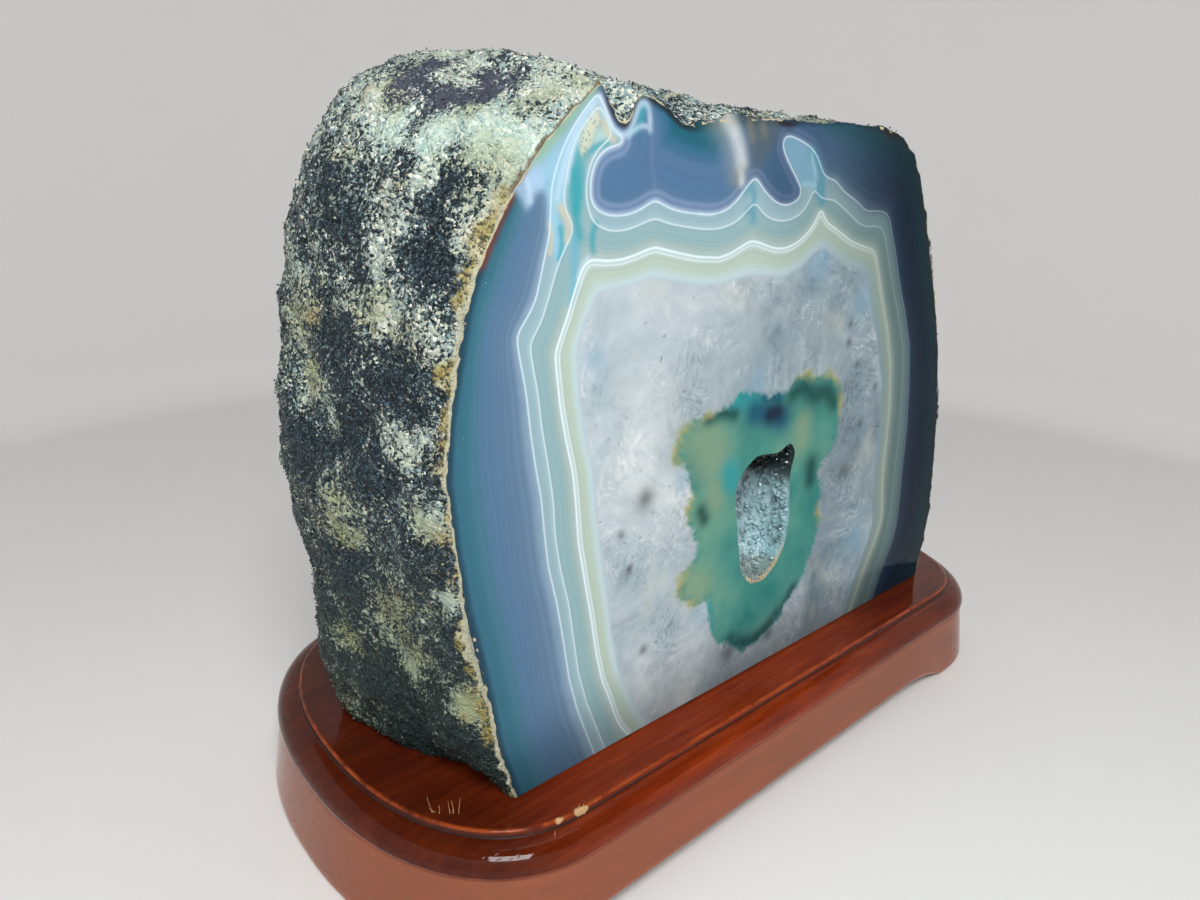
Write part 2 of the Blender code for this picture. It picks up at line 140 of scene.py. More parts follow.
FIRST_LINE = (
    (-54.0, 8.0), (-57.9, 23.5), (-60.2, 29.5), (-62.9, 36.7), (-65.2, 44.9), (-66.9, 54.5), (-68.6, 63.1),
    (-70.6, 70.8), (-71.6, 78.0), (-72.3, 84.5), (-73.6, 90.8), (-74.7, 97.5), (-75.6, 104.3), (-76.9, 110.3),
    (-77.5, 113.8), (-76.3, 115.4), (-74.9, 117.2), (-73.6, 119.5), (-72.3, 124.5), (-71.0, 129.5),
    (-70.8, 134.5), (-70.6, 137.0), (-69.6, 140.0), (-68.2, 143.0), (-66.6, 145.5), (-64.5, 148.0),
    (-61.6, 151.0), (-60.6, 149.6), (-59.4, 147.8), (-58.6, 146.2), (-57.3, 145.1), (-55.6, 144.6),
    (-56.3, 143.5), (-58.2, 143.2), (-60.0, 142.5), (-61.5, 141.2), (-62.4, 139.4), (-62.8, 137.2),
    (-62.7, 135.0), (-61.9, 133.6), (-60.5, 132.8), (-58.7, 132.3), (-56.4, 132.2), (-53.7, 132.5),
    (-50.9, 133.4), (-48.7, 134.6), (-47.6, 134.9), (-45.9, 134.1), (-43.1, 133.3), (-39.9, 132.8),
    (-33.1, 132.4), (-30.3, 132.8), (-27.6, 133.7), (-25.0, 135.7), (-23.1, 137.6), (-21.4, 139.2),
    (-20.6, 139.5), (-19.2, 138.3), (-17.0, 136.6), (-14.2, 135.1), (-11.5, 134.3), (-8.8, 134.4),
    (-6.4, 135.3), (-5.2, 136.4), (-5.6, 137.9), (-7.6, 139.8), (-9.8, 141.8), (-11.6, 143.6), (-13.0, 145.2),
    (-13.1, 146.9), (-11.4, 147.6), (-8.5, 147.1), (-5.2, 146.3), (-3.0, 145.5), (-1.0, 144.1), (0.6, 142.2),
    (2.0, 140.6), (4.0, 139.9), (6.5, 139.6), (8.2, 138.6), (10.2, 137.4), (15.8, 135.4), (20.1, 133.3),
    (26.9, 133.3), (29.1, 132.9), (30.8, 131.7), (32.4, 129.0), (36.1, 123.0), (38.8, 117.8), (44.9, 107.8),
    (49.5, 99.4), (52.2, 89.4), (54.9, 76.3), (56.1, 63.2), (57.6, 50.2), (57.6, 44.8), (56.5, 39.4),
    (54.2, 34.8), (51.8, 29.4), (44.0, 8.0),
)
SECOND_LINE = (
    (-50.0, 8.0), (-55.0, 23.5), (-57.9, 30.8), (-60.6, 37.6), (-62.9, 45.4), (-64.3, 53.5), (-65.7, 61.7),
    (-67.9, 69.9), (-69.2, 77.0), (-69.7, 83.8), (-70.9, 90.6), (-72.3, 97.5), (-73.2, 103.8), (-74.5, 109.7),
    (-74.9, 112.2), (-74.3, 113.1), (-72.6, 115.6), (-71.3, 118.8), (-69.5, 124.0), (-68.0, 127.0),
    (-66.7, 128.9), (-66.1, 130.2), (-66.7, 131.6), (-67.9, 133.0), (-68.3, 135.0), (-67.9, 137.5),
    (-67.4, 140.0), (-66.6, 142.4), (-65.5, 144.7), (-62.7, 147.8), (-61.3, 149.2), (-60.3, 148.2),
    (-59.2, 146.6), (-58.3, 145.1), (-58.9, 144.1), (-60.6, 143.2), (-62.1, 141.6), (-63.1, 139.6),
    (-63.6, 137.5), (-63.6, 135.2), (-63.1, 133.4), (-62.4, 131.9), (-61.5, 130.9), (-58.7, 129.9),
    (-56.4, 129.7), (-53.1, 130.2), (-50.3, 131.1), (-47.6, 131.9), (-44.8, 131.1), (-42.0, 130.6),
    (-35.3, 129.9), (-32.0, 129.8), (-29.2, 130.1), (-26.4, 130.8), (-24.2, 131.9), (-22.0, 133.6),
    (-20.3, 134.8), (-19.2, 134.2), (-17.3, 132.7), (-14.8, 131.7), (-11.4, 131.2), (-8.1, 131.5),
    (-4.8, 132.6), (-2.8, 134.4), (-1.7, 136.4), (-0.8, 137.8), (0.2, 137.0), (1.6, 136.0), (3.6, 135.7),
    (6.9, 135.6), (11.3, 133.7), (18.0, 130.5), (21.3, 129.8), (25.2, 130.0), (27.7, 129.6), (29.7, 127.9),
    (34.5, 119.2), (40.5, 109.4), (46.1, 99.4), (48.8, 89.4), (51.1, 76.3), (51.8, 65.5), (53.0, 50.2),
    (52.2, 42.5), (48.8, 33.2), (41.0, 8.0),
)
THIRD_LINE = (
    (-39.0, 8.0), (-47.7, 23.5), (-50.4, 27.2), (-52.0, 30.4), (-54.3, 36.7), (-56.1, 40.8), (-58.1, 48.5),
    (-59.6, 56.7), (-61.5, 65.4), (-63.3, 74.0), (-64.0, 81.1), (-64.9, 87.9), (-66.7, 94.7), (-68.1, 101.1),
    (-69.0, 107.5), (-69.3, 110.1), (-68.1, 112.9), (-66.7, 116.1), (-65.6, 119.3), (-64.5, 122.0),
    (-63.8, 123.6), (-62.9, 124.7), (-61.8, 124.9), (-60.6, 124.7), (-59.2, 124.5), (-55.3, 124.6),
    (-52.0, 125.3), (-49.2, 126.1), (-47.3, 126.6), (-44.8, 126.0), (-39.8, 125.1), (-36.4, 124.5),
    (-29.8, 124.1), (-26.4, 124.8), (-20.9, 127.0), (-19.8, 127.1), (-17.0, 126.5), (-13.1, 125.5),
    (-9.8, 125.3), (-6.4, 125.9), (-3.1, 127.3), (-0.3, 129.3), (1.3, 131.2), (2.4, 133.5), (3.3, 132.1),
    (5.2, 130.4), (9.1, 129.0), (15.8, 126.2), (22.4, 124.8), (25.2, 124.3), (26.9, 122.9), (31.1, 114.8),
    (37.2, 104.0), (41.1, 94.8), (43.8, 83.2), (44.9, 70.2), (45.5, 63.2), (46.8, 57.1), (48.2, 51.7),
    (48.2, 47.8), (46.8, 44.0), (41.8, 34.0), (38.2, 24.8), (33.0, 8.0),
)
QUARTZ_LINE = (
    (-34.0, 8.0), (-42.5, 23.5), (-46.5, 29.9), (-50.6, 38.1), (-52.5, 42.2), (-54.7, 51.3), (-56.1, 60.4),
    (-58.2, 70.0), (-59.9, 81.0), (-60.9, 88.0), (-62.9, 94.5), (-64.5, 103.2), (-65.1, 110.0), (-64.5, 112.5),
    (-62.8, 116.1), (-61.4, 119.0), (-59.8, 120.0), (-57.0, 120.1), (-53.1, 120.6), (-47.6, 121.7),
    (-42.0, 120.9), (-36.4, 120.0), (-30.9, 119.6), (-19.8, 120.9), (-9.8, 120.2), (-6.4, 120.7), (-2.0, 122.3),
    (0.8, 124.3), (3.6, 125.7), (5.8, 125.7), (9.1, 124.0), (12.4, 122.3), (19.7, 120.3), (23.0, 119.8),
    (25.0, 117.5), (29.5, 108.6), (33.4, 102.5), (38.4, 90.9), (40.7, 76.3), (41.8, 60.2), (44.2, 50.2),
    (43.4, 45.5), (38.8, 34.8), (35.3, 24.8), (29.0, 8.0),
)
GREEN_OUTLINE = (
    (-37.4, 90.8), (-39.6, 85.1), (-36.4, 83.6), (-34.2, 80.4), (-32.8, 76.1), (-34.2, 74.0), (-33.9, 70.4),
    (-31.7, 66.9), (-29.9, 63.3), (-30.6, 60.4), (-34.6, 57.6), (-35.3, 54.0), (-32.4, 50.4), (-29.2, 47.9),
    (-25.6, 49.7), (-24.6, 44.7), (-22.4, 38.3), (-18.1, 34.4), (-14.6, 33.3), (-11.7, 29.7), (-8.9, 29.0),
    (-4.6, 31.1), (3.3, 33.3), (6.9, 37.6), (10.4, 41.9), (13.3, 46.9), (15.4, 51.9), (16.1, 56.9),
    (15.1, 61.9), (15.8, 66.1), (13.3, 69.7), (13.3, 72.6), (16.9, 75.4), (19.4, 79.7), (20.4, 85.4),
    (19.4, 90.4), (16.9, 94.0), (13.3, 96.9), (9.0, 96.1), (5.4, 97.2), (1.1, 97.6), (-1.7, 95.4), (-4.6, 94.4),
    (-10.3, 94.7), (-14.6, 95.1), (-16.7, 96.1), (-19.6, 95.8), (-23.9, 94.0), (-28.1, 93.3), (-31.7, 92.2),
)

# Soft strokes laid over the bands of the face: colour, strength, and lines of (x, z) with their half width
STROKES = (
    ("crust_line", (40, 33, 25), 0.9, (
        (((-59.4, 150.2), (-58.4, 148.6), (-56.6, 146.5), (-55.2, 146.4), (-54.4, 147.4), (-53.5, 150.0),
          (-51.8, 151.5), (-49.4, 151.0), (-46.0, 149.8), (-43.4, 148.0), (-41.6, 147.2), (-39.6, 147.4)), 0.5),
        (((-14.6, 150.0), (-11.0, 149.2), (-9.4, 150.2)), 0.6), (((24.0, 150.6), (30.0, 149.4)), 0.5))),
    ("tongue_edge", (64, 138, 160), 0.8, (
        (((-3.4, 145.4), (-1.2, 143.8), (1.1, 140.8), (2.3, 137.6), (1.8, 135.8)), 0.9),
        (((0.4, 138.6), (1.0, 136.8), (2.4, 135.6)), 1.2))),
    ("tongue_line", (150, 190, 206), 0.7, (
        (((-3.2, 145.2), (-2.4, 143.2), (-1.2, 140.6), (-0.4, 138.2)), 0.35),
        (((-5.0, 138.6), (-3.0, 138.9), (-1.0, 138.2)), 0.4))),
    ("cusp_blue", (86, 152, 172), 0.75, (
        (((-23.4, 136.8), (-21.4, 138.2), (-20.6, 136.2), (-20.6, 134.8)), 0.9),
        (((-22.4, 133.2), (-20.6, 134.0), (-20.4, 131.6)), 0.9))),
    ("turquoise", (58, 158, 170), 0.8, (
        (((-66.4, 139.0), (-65.6, 135.6), (-65.8, 132.6), (-64.8, 129.0)), 0.8),
        (((-68.9, 130.4), (-68.3, 128.2), (-69.0, 125.6)), 0.5),
        (((-64.0, 141.4), (-62.0, 142.9), (-59.6, 143.6)), 0.5),
        (((-54.4, 145.4), (-52.9, 146.0)), 0.4), (((-52.2, 147.6), (-51.6, 149.6)), 0.7),
        (((-61.4, 131.0), (-62.3, 128.8), (-61.8, 126.6)), 0.6))),
    ("haze", (190, 216, 234), 0.7, (
        (((-75.4, 137.6), (-74.9, 135.6), (-74.8, 134.4)), 0.5),
        (((-61.3, 150.2), (-59.9, 147.8), (-58.7, 145.9), (-57.2, 145.0), (-55.4, 144.8), (-54.2, 145.9),
          (-53.4, 147.8), (-52.8, 149.8), (-51.6, 150.7), (-50.3, 149.9), (-49.9, 147.6), (-49.8, 146.2)), 0.5),
        (((-54.8, 144.9), (-53.2, 146.3), (-51.4, 146.9), (-50.0, 146.6)), 0.4),
        (((-61.9, 149.8), (-64.6, 147.0), (-66.4, 144.4), (-67.6, 141.6), (-68.6, 138.4), (-69.6, 135.0)), 0.5),
        (((-65.6, 144.6), (-67.0, 141.0), (-67.6, 137.6)), 0.4),
        (((-64.9, 122.4), (-64.2, 124.4), (-62.8, 125.6)), 0.4))),
    ("cream", (206, 196, 164), 0.8, (
        (((-68.9, 133.6), (-67.7, 132.2), (-66.8, 130.6), (-67.4, 128.4)), 0.5),
        (((-71.0, 131.0), (-70.4, 128.6), (-70.9, 126.4)), 0.35),
        (((-60.4, 146.6), (-59.2, 145.0), (-58.0, 144.2)), 0.45))),
    ("mist", (138, 154, 156), 0.5, (
        (((-32.6, 148.6), (-30.0, 146.4), (-27.6, 143.0), (-26.6, 140.4)), 2.6),)),
    ("wisp", (212, 219, 221), 0.75, (
        (((-30.2, 149.4), (-28.0, 147.4), (-26.2, 144.6), (-25.2, 141.8)), 1.5), (((-25.6, 142.0), (-24.8, 138.6)), 0.9))),
    ("beige", (150, 138, 106), 0.32, (
        (((-25.4, 140.4), (-26.6, 139.0)), 1.2), (((-31.6, 150.0), (-28.6, 149.0)), 1.0),
        (((-19.8, 149.0), (-19.0, 147.6)), 0.8), (((-24.0, 149.4), (-22.8, 146.4)), 0.9))),
    ("bay_border", (118, 138, 168), 0.25, (
        (((-49.3, 147.0), (-49.3, 143.0), (-48.6, 139.0), (-47.9, 136.6)), 0.5),)),
    ("rust", (128, 62, 26), 0.9, (
        (((-84.0, 125.4), (-81.9, 129.6), (-80.6, 132.0), (-78.8, 134.9)), 0.8),
        (((-77.0, 137.2), (-75.2, 139.6)), 0.4))),
)
# Soft-edged areas of the face: colour, strength, softness and outline in (x, z)
AREAS = (
    ("pale_green", (146, 182, 162), 0.95, 0.7, (
        (-77.4, 138.2), (-72.6, 143.6), (-67.0, 149.0), (-60.8, 154.0), (-61.9, 150.8), (-65.6, 147.0),
        (-68.6, 143.6), (-71.4, 140.8), (-74.6, 138.4))),
    ("sky", (156, 202, 224), 0.85, 1.0, (
        (-76.4, 137.4), (-72.4, 140.6), (-68.6, 144.0), (-65.6, 147.0), (-62.2, 150.4), (-62.6, 148.4),
        (-64.9, 145.2), (-66.4, 141.0), (-67.3, 137.0), (-68.4, 134.4), (-69.6, 132.0), (-70.4, 128.8),
        (-71.3, 132.4), (-71.6, 135.6), (-72.8, 136.6), (-74.4, 136.2))),
    ("sea", (64, 162, 172), 0.85, 0.8, (
        (-65.8, 143.0), (-64.3, 141.6), (-63.8, 139.0), (-64.1, 136.0), (-64.5, 133.4), (-65.2, 131.6),
        (-66.2, 132.0), (-67.2, 134.2), (-67.2, 137.0), (-66.6, 140.0))),
    ("fold_blue", (104, 176, 200), 0.85, 0.9, (
        (-67.4, 130.4), (-65.4, 129.6), (-64.7, 126.0), (-64.9, 122.0), (-66.0, 118.0), (-67.4, 117.6),
        (-66.6, 122.0), (-66.4, 126.0))),
    ("edge_blue", (146, 200, 226), 0.85, 0.6, (
        (-70.6, 132.0), (-69.2, 132.2), (-68.0, 129.6), (-67.8, 127.4), (-68.9, 124.6), (-70.3, 126.0),
        (-70.6, 129.0))),
    ("wedge", (206, 212, 192), 0.9, 0.5, (
        (-65.2, 142.4), (-64.7, 145.2), (-62.9, 148.2), (-61.6, 148.9), (-60.5, 147.0), (-61.7, 145.8),
        (-62.4, 144.0), (-63.4, 141.6), (-64.4, 140.6))),
    ("inner_pale", (176, 208, 204), 0.85, 0.5, (
        (-62.2, 145.0), (-60.2, 146.4), (-58.2, 145.4), (-58.8, 144.3), (-61.0, 143.5), (-62.6, 142.8))),
    ("plume", (172, 200, 228), 0.8, 0.9, (
        (-78.4, 136.4), (-76.0, 139.2), (-72.9, 140.0), (-71.8, 137.4), (-72.6, 135.8), (-73.8, 135.9),
        (-74.9, 134.0), (-75.6, 132.6), (-76.0, 134.6), (-77.2, 135.2))),
    ("tongue", (116, 156, 180), 0.95, 0.4, (
        (-13.1, 146.8), (-11.4, 147.5), (-8.5, 147.0), (-5.2, 146.1), (-3.0, 144.9), (-1.4, 142.8),
        (-0.3, 140.0), (0.2, 137.4), (-1.4, 138.4), (-3.2, 138.2), (-5.3, 138.1), (-7.5, 140.0),
        (-9.7, 142.0), (-11.5, 143.8), (-12.8, 145.2))),
    ("glow", (228, 232, 232), 0.42, 4.0, (
        (-55.0, 100.0), (-48.0, 104.0), (-40.0, 101.0), (-38.0, 94.0), (-42.0, 88.0), (-50.0, 90.0))),
    ("murk", (92, 98, 90), 0.65, 2.4, (
        (-25.0, 150.0), (-23.6, 145.4), (-22.2, 141.8), (-20.7, 140.4), (-19.3, 142.4), (-17.0, 144.4),
        (-15.4, 146.8), (-14.4, 150.2))),
)

# Colours of the bands of the face by their place from the rim (0) past each white line to the quartz (4 and on),
# divided by five, as the colour ramps need
# West and east ramps differ partly in the stone's own colour and partly by painted light: the west is painted lit and
# the east is in painted shade, as the light on the face falls off towards the east
WEST_BANDS = (
    (0.0, (60, 88, 108)), (0.012, (58, 104, 126)), (0.04, (60, 112, 130)), (0.062, (76, 118, 140)),
    (0.085, (84, 118, 150)), (0.13, (92, 122, 152)), (0.165, (100, 128, 156)), (0.182, (118, 144, 168)),
    (0.198, (146, 172, 190)), (0.206, (148, 176, 186)), (0.225, (146, 176, 186)), (0.3, (150, 178, 188)),
    (0.36, (158, 186, 196)), (0.398, (164, 192, 200)), (0.41, (144, 176, 182)), (0.5, (144, 176, 180)),
    (0.54, (160, 182, 178)), (0.572, (172, 192, 192)), (0.598, (188, 208, 210)), (0.622, (184, 202, 198)),
    (0.65, (178, 195, 182)), (0.7, (180, 198, 184)), (0.745, (186, 206, 202)), (0.785, (190, 210, 216)),
    (0.81, (178, 196, 204)),
)
EAST_BANDS_IN_PAINTED_SHADE = (
    (0.0, (26, 38, 32)), (0.02, (12, 40, 48)), (0.06, (6, 36, 50)), (0.1, (6, 28, 46)), (0.15, (14, 32, 54)),
    (0.185, (28, 46, 66)), (0.2, (50, 70, 84)), (0.23, (80, 102, 110)), (0.3, (94, 116, 120)),
    (0.4, (98, 120, 120)), (0.46, (94, 116, 116)), (0.52, (106, 128, 126)), (0.57, (132, 148, 142)),
    (0.6, (148, 160, 152)), (0.64, (142, 156, 144)), (0.7, (132, 152, 144)), (0.76, (128, 150, 154)),
    (0.82, (128, 148, 156)),
)
BAY_BANDS = (
    (0.0, (176, 198, 214)), (0.03, (134, 154, 182)), (0.05, (106, 130, 166)), (0.08, (118, 142, 174)),
    (0.12, (86, 120, 154)), (0.24, (82, 116, 152)), (0.4, (84, 116, 150)), (0.5, (62, 108, 140)),
    (0.6, (38, 98, 120)), (0.8, (36, 96, 106)), (1.0, (40, 76, 80)),
)
# The quartz too is painted lit in the west and in painted shade in the east
WEST_QUARTZ = ((0.28, (124, 142, 152)), (0.42, (172, 188, 196)), (0.56, (194, 205, 210)), (0.72, (224, 230, 230)))
EAST_QUARTZ_IN_PAINTED_SHADE = ((0.28, (82, 100, 114)), (0.42, (122, 140, 150)), (0.56, (146, 162, 170)), (0.72, (182, 194, 200)))
GREEN_TONES = ((0.3, (34, 122, 116)), (0.5, (70, 142, 130)), (0.7, (104, 156, 134)))
WHITE_LINES = (
    ("first", 0.0, 0.15, 0.85, (204, 222, 234)), ("second", 0.0, 0.14, 0.8, (204, 222, 228)),
    ("third", -0.36, 0.19, 0.9, (226, 240, 244)), ("third", 0.42, 0.12, 0.75, (218, 234, 238)),
)
GREEN_STROKES = (
    ("olive_lobe", (138, 160, 126), 0.7, (
        (((-31.0, 88.0), (-27.0, 83.0)), 6.0), (((-31.5, 54.5), (-28.0, 52.5)), 3.4),
        (((4.5, 85.0), (5.0, 81.0)), 3.4), (((-26.0, 76.0), (-24.5, 73.0)), 3.0))),
    ("teal_part", (40, 150, 156), 0.9, (
        (((-22.0, 94.4), (-18.0, 94.8), (-14.0, 93.6)), 2.6), (((-21.0, 79.0), (-20.0, 76.0)), 2.6),
        (((-25.0, 47.0), (-24.0, 41.0)), 1.4))),
    ("blue_part", (0, 76, 104), 0.95, (
        (((-14.0, 91.0), (-9.0, 90.0), (-4.0, 88.0)), 3.2), (((-11.0, 93.8), (-6.0, 93.0)), 2.0))),
    ("navy_spot", (0, 18, 50), 0.97, ((((-8.4, 89.6), (-5.6, 89.8)), 1.9),)),
    ("dark_green", (0, 64, 58), 0.9, (
        (((-0.6, 93.6), (3.0, 94.6), (8.0, 91.6), (13.0, 92.0), (16.6, 89.0)), 2.6),
        (((-29.4, 92.2), (-24.6, 92.6), (-21.0, 91.6)), 1.5),
        (((10.0, 74.0), (10.4, 70.0)), 2.4), (((-29.6, 71.6), (-28.4, 69.4)), 1.6),
        (((-16.0, 35.0), (-8.0, 31.0), (-1.0, 33.4), (3.0, 36.0)), 1.8), (((8.0, 41.0), (5.0, 37.0)), 1.6))),
)
OCHRE_TIPS = ((-38.4, 86.4, 3.2), (-36.4, 90.4, 2.6), (-34.0, 73.4, 2.8), (-34.6, 56.0, 3.4), (-31.0, 50.0, 2.4),
              (4.0, 97.6, 3.6), (15.0, 95.4, 4.0), (19.6, 88.0, 3.4), (15.8, 60.0, 2.4), (-29.4, 93.0, 1.8))
QUARTZ_SPOTS = ((25.0, 69.0, 2.6), (-46.5, 78.6, 2.6), (-52.8, 72.4, 1.0), (-50.2, 64.2, 1.1), (-45.0, 43.6, 1.2),
                (-16.0, 31.5, 2.6), (-0.5, 31.0, 2.0), (20.0, 103.0, 1.2), (19.6, 107.4, 1.0), (25.0, 97.0, 1.1),
                (35.0, 90.0, 0.9), (30.0, 81.0, 1.1))
BLUE_TINTS = ((-27.5, 46.0, 3.4), (-30.0, 61.4, 2.2), (-36.0, 80.0, 2.6), (-14.0, 97.5, 3.4), (36.0, 47.0, 7.0),
              (40.0, 34.0, 5.0), (-61.0, 108.0, 3.0), (4.0, 122.5, 5.0), (24.0, 112.0, 4.0))

# Patches of the rind seen on the left end and the top, as (x, y, z, radius)
RIND_PATCHES = (
    ("cream", (
        (-85, -5, 150, 5), (-73, -15, 155, 5), (-67, -31, 153, 6), (-64, -36, 150, 4), (-86, -24, 137, 2.5),
        (-90, -20, 131, 5), (-92, -20, 126, 4), (-84, -34, 129, 4), (-93, -22, 117, 5), (-92, -32, 114, 4),
        (-96, 8, 124, 3), (-94, -28, 96, 4.5), (-81, -36, 133, 3), (-70, -5, 160, 5))),
    ("mint", (
        (-86, -13, 145, 4), (-82, -23, 144, 5), (-78, -31, 144, 6), (-75, -35, 142, 6), (-76, -36, 138, 4),
        (-90, -20, 49, 3), (-90, -35, 70, 3), (-86, -34, 47, 4), (-91, -33, 84, 3))),
    ("olive", (
        (-97, 1, 113, 7), (-98, -3, 104, 5), (-99, -12, 83, 5), (-98, -10, 76, 4.5), (-92, -18, 61, 7),
        (-90, -22, 54, 5), (-86, -34, 47, 4), (-92, -31, 84, 3), (-95, -2, 50, 5))),
    ("dark", (
        (-36, -26, 153, 5), (-22, -30, 151, 4), (-6, -30, 150, 5), (14, -32, 150, 5), (30, -33, 148, 5),
        (-88, -11, 140, 5), (-86, -22, 140, 4), (-84, -29, 135, 5), (-92, -8, 135, 6), (-89, -30, 124, 5),
        (-96, -8, 110, 5), (-95, -24, 105, 5), (-96, -15, 99, 6), (-93, -30, 102, 4), (-96, -21, 90, 4.5),
        (-97, -7, 65, 7), (-92, -31, 72, 4), (-89, -36, 63, 4), (-92, -10, 43, 6), (-86, -15, 28, 9),
        (-80, -24, 24, 9), (-100, 0, 89, 6), (-84, -33, 33, 7))),
    ("purple", ((-80, -10, 153, 5), (-78, -19, 150, 5), (-72, -22, 152, 5.5), (-75, -10, 157, 4))),
    ("rust", ((-97, -4, 114, 2.5), (-91, -35.5, 81, 3), (-90, -36, 75, 3), (-83, -36, 128, 3), (-92, -36, 97, 2.5),
              (-81, -36, 31, 2))),
)

# Wood of the stand
WOOD_NOISE = (((48.0, 560.0, 560.0), 4.0, 0.6), ((14.0, 80.0, 80.0), 4.0, 0.55, 0.9), ((90.0, 2400.0, 2400.0), 2.0))
WOOD_TONES = ((0.3, (94, 30, 9)), (0.45, (116, 40, 12)), (0.55, (134, 49, 15)), (0.7, (156, 63, 21)))
PORE_STEP, PORE_COLOUR, PORE_DEPTH_STEP = (0.6, 0.7, 0.0, 0.3), (44, 11, 5), (0.6, 0.75)
# Painted shade on both ends of the stand, over the roll and the top
LEFT_PAINTED_SHADE, RIGHT_PAINTED_SHADE = (-0.056, -0.092, 0.0, 0.7), (0.010, 0.062, 0.0, 0.5)
PAINTED_SHADE_HEIGHT, PAINTED_SHADE_COLOUR = (0.0170, 0.0178), (34, 14, 9)
# The paler skirt is a painted reflection of the pale floor in its gloss
SKIRT_REFLECTION_STEP, SKIRT_PAINTED_REFLECTION, SKIRT_REFLECTION_STRENGTH = (0.0172, 0.0166), (152, 98, 74), 0.6
RUB_NOISE, WEAR_STEP, RUB_STEP = (130.0, 4.0, 0.7), (0.25, 0.9), (0.36, 0.6)
RUBBED_COLOUR, RUBBED_STRENGTH = (176, 80, 34), 0.65
# The grooves of the moulding are darker and duller
GROOVE_DARK_STEP, GROOVE_DARK_RUB, GROOVE_DARK_COLOUR = (-0.2, -0.9), (0.3, 0.5, 0.55, 0.95), (44, 27, 22)
CHIP_RAG, CHIP_STEP, CHIP_COLOUR = 0.9, (0.55, 0.75), (196, 158, 116)
DUST_PATCHES, DUST_COLOUR = (1500.0, 2.0, 0.5, 0.72, 0.78, 0.4), (150, 110, 90)
SCUFF_STRETCH, SCUFF_STEP = ((300.0, 60.0, 900.0), (0.3, 0.1, 0.5)), (0.6, 0.75, 0.05, 0.22)
RAW_DULLNESS, GROOVE_DULLNESS, FIBRE_HEIGHT = 0.5, 0.3, 0.35
WOOD_BUMP, WOOD_BUMP_STRENGTH, WOOD_IOR, WOOD_GLOSS = 0.05, 0.5, 1.5, 0.22
RAW_STRETCH, RAW_TONES, RAW_ROUGHNESS = (3000.0, 3000.0, 500.0), ((0.35, (150, 98, 58)), (0.65, (222, 186, 138))), 0.6

# Bands of the face. Steps are (from, to) or (from, to, least, most), and noise is (scale, detail, roughness,
# distortion). Steps along X, Y or Z are in metres, as the materials read them.
BAND_WAVER, BAND_SPAN, QUARTZ_BAND, QUARTZ_REACH, AWAY_REACH = 0.05, 5.0, 4.0, 10.0, 20.0
BAY_SHADES = ((-0.034, -0.010, 0.6, (36, 62, 92)), (-0.008, 0.008, 0.5, (22, 58, 70)))
BAND_STRIPES, BAY_STRIPES, STRIPE_CONTRAST = (17.0, 4.0), (0.9, 3.0), 0.32
# EAST_SIDE is where the face passes into its painted shade towards the east
EAST_SIDE, WAVER_SCALE, QUARTZ_EDGE = (-0.030, 0.040), 260.0, (4.0, 4.14)
CLOUDY_NOISE, CLOUDY_STEP = (420.0, 4.0), (0.2, 0.55, 0.8, 1.0)
SPECKLE_SCALE, SPECKLE_STEP, SPECKLE_COLOUR, SPECKLE_STRENGTH = 1500.0, (0.45, 0.2), (122, 112, 82), 0.5
EAST_FADE, LINE_OUTER, LINE_INNER = 0.82, 1.9, 0.4
BAY_LEFT, BAY_LEFT_SOFT, BAY_RIGHT, BAY_RIGHT_SOFT, BAY_LOW = -64.5, 0.5, 1.0, 2.0, 126.0
STROKE_FALL, STROKE_POWER, AREA_SLOPE, MASK_LIMIT = 0.7, 2.2, 3.0, 9.0

# Quartz of the face, with its blades as (spread, width, length, lightening, darkening)
FAN, FAN_TURN, FAN_REACH = ("fan_x", "fan_z", "fan_r"), 3.4, 16.0
SHIFT_NOISE, SHIFT_REACH = (75.0, 3.0), 0.012
CLOUD_NOISE, CLOUD_SHARE, CLOUD_BASE = (46.0, 5.0, 0.62, 0.7), 0.85, 0.085
FIBRE_NOISE, FIBRE_SHARE = (4.2, 7.0, 0.66, 0.3), 0.22
FEATHER_SCALE, FEATHER_STEP = 75.0, (0.42, 0.6, 0.25, 1.0)
BLADES = ((14.0, 1.2, 12.0, 0.11, 0.09), (7.0, 0.6, 7.0, 0.09, 0.07))
BLADE_NOISE, BLADE_MIDDLE, BLADE_LIGHT, BLADE_DARK = (3.0, 0.6), 0.48, (0.5, 0.7), (0.46, 0.3)
# QUARTZ_SIDES is where the quartz passes from its painted-lit west to its painted shade in the east
QUARTZ_SIDES = (-0.062, 0.014)
QUARTZ_LAYERS = (((120, 134, 142), 0.45, (38.0, 4.0, 0.55, 0.56, 0.74)),
                 ((88, 98, 104), 0.5, (620.0, 3.0, 0.5, 0.64, 0.72), (70.0, 1.0, 0.5, 0.48, 0.6)),
                 ((206, 204, 180), 0.22, (60.0, 3.0, 0.5, 0.56, 0.7)))
QUARTZ_MARKS = (("spots", 0.8, (84, 92, 98)), ("blue_tint", 0.45, (112, 160, 190)))

# Green zone
RAG_NOISE, RAG_WIDTH, FRAY_NOISE, FRAY_WIDTH = (2.8, 6.0, 0.62), 6.0, (300.0, 5.0, 0.65), 2.4
GREEN_SCALE, GREEN_EDGE = 55.0, (-0.9, 0.7, 0.0, 0.96)
NEEDLE_REACH, NEEDLE_NOISE, NEEDLE_STEP = (3.6, 0.4), (4.6, 5.0, 0.6), (0.4, 0.66)
NEEDLE_COLOUR, NEEDLE_STRENGTH = (34, 122, 124), 0.6
OCHRE_OUTER, OCHRE_INNER, OCHRE_COLOUR, OCHRE_STRENGTH = (-2.0, 0.0), (2.4, 0.2), (182, 170, 92), 0.55

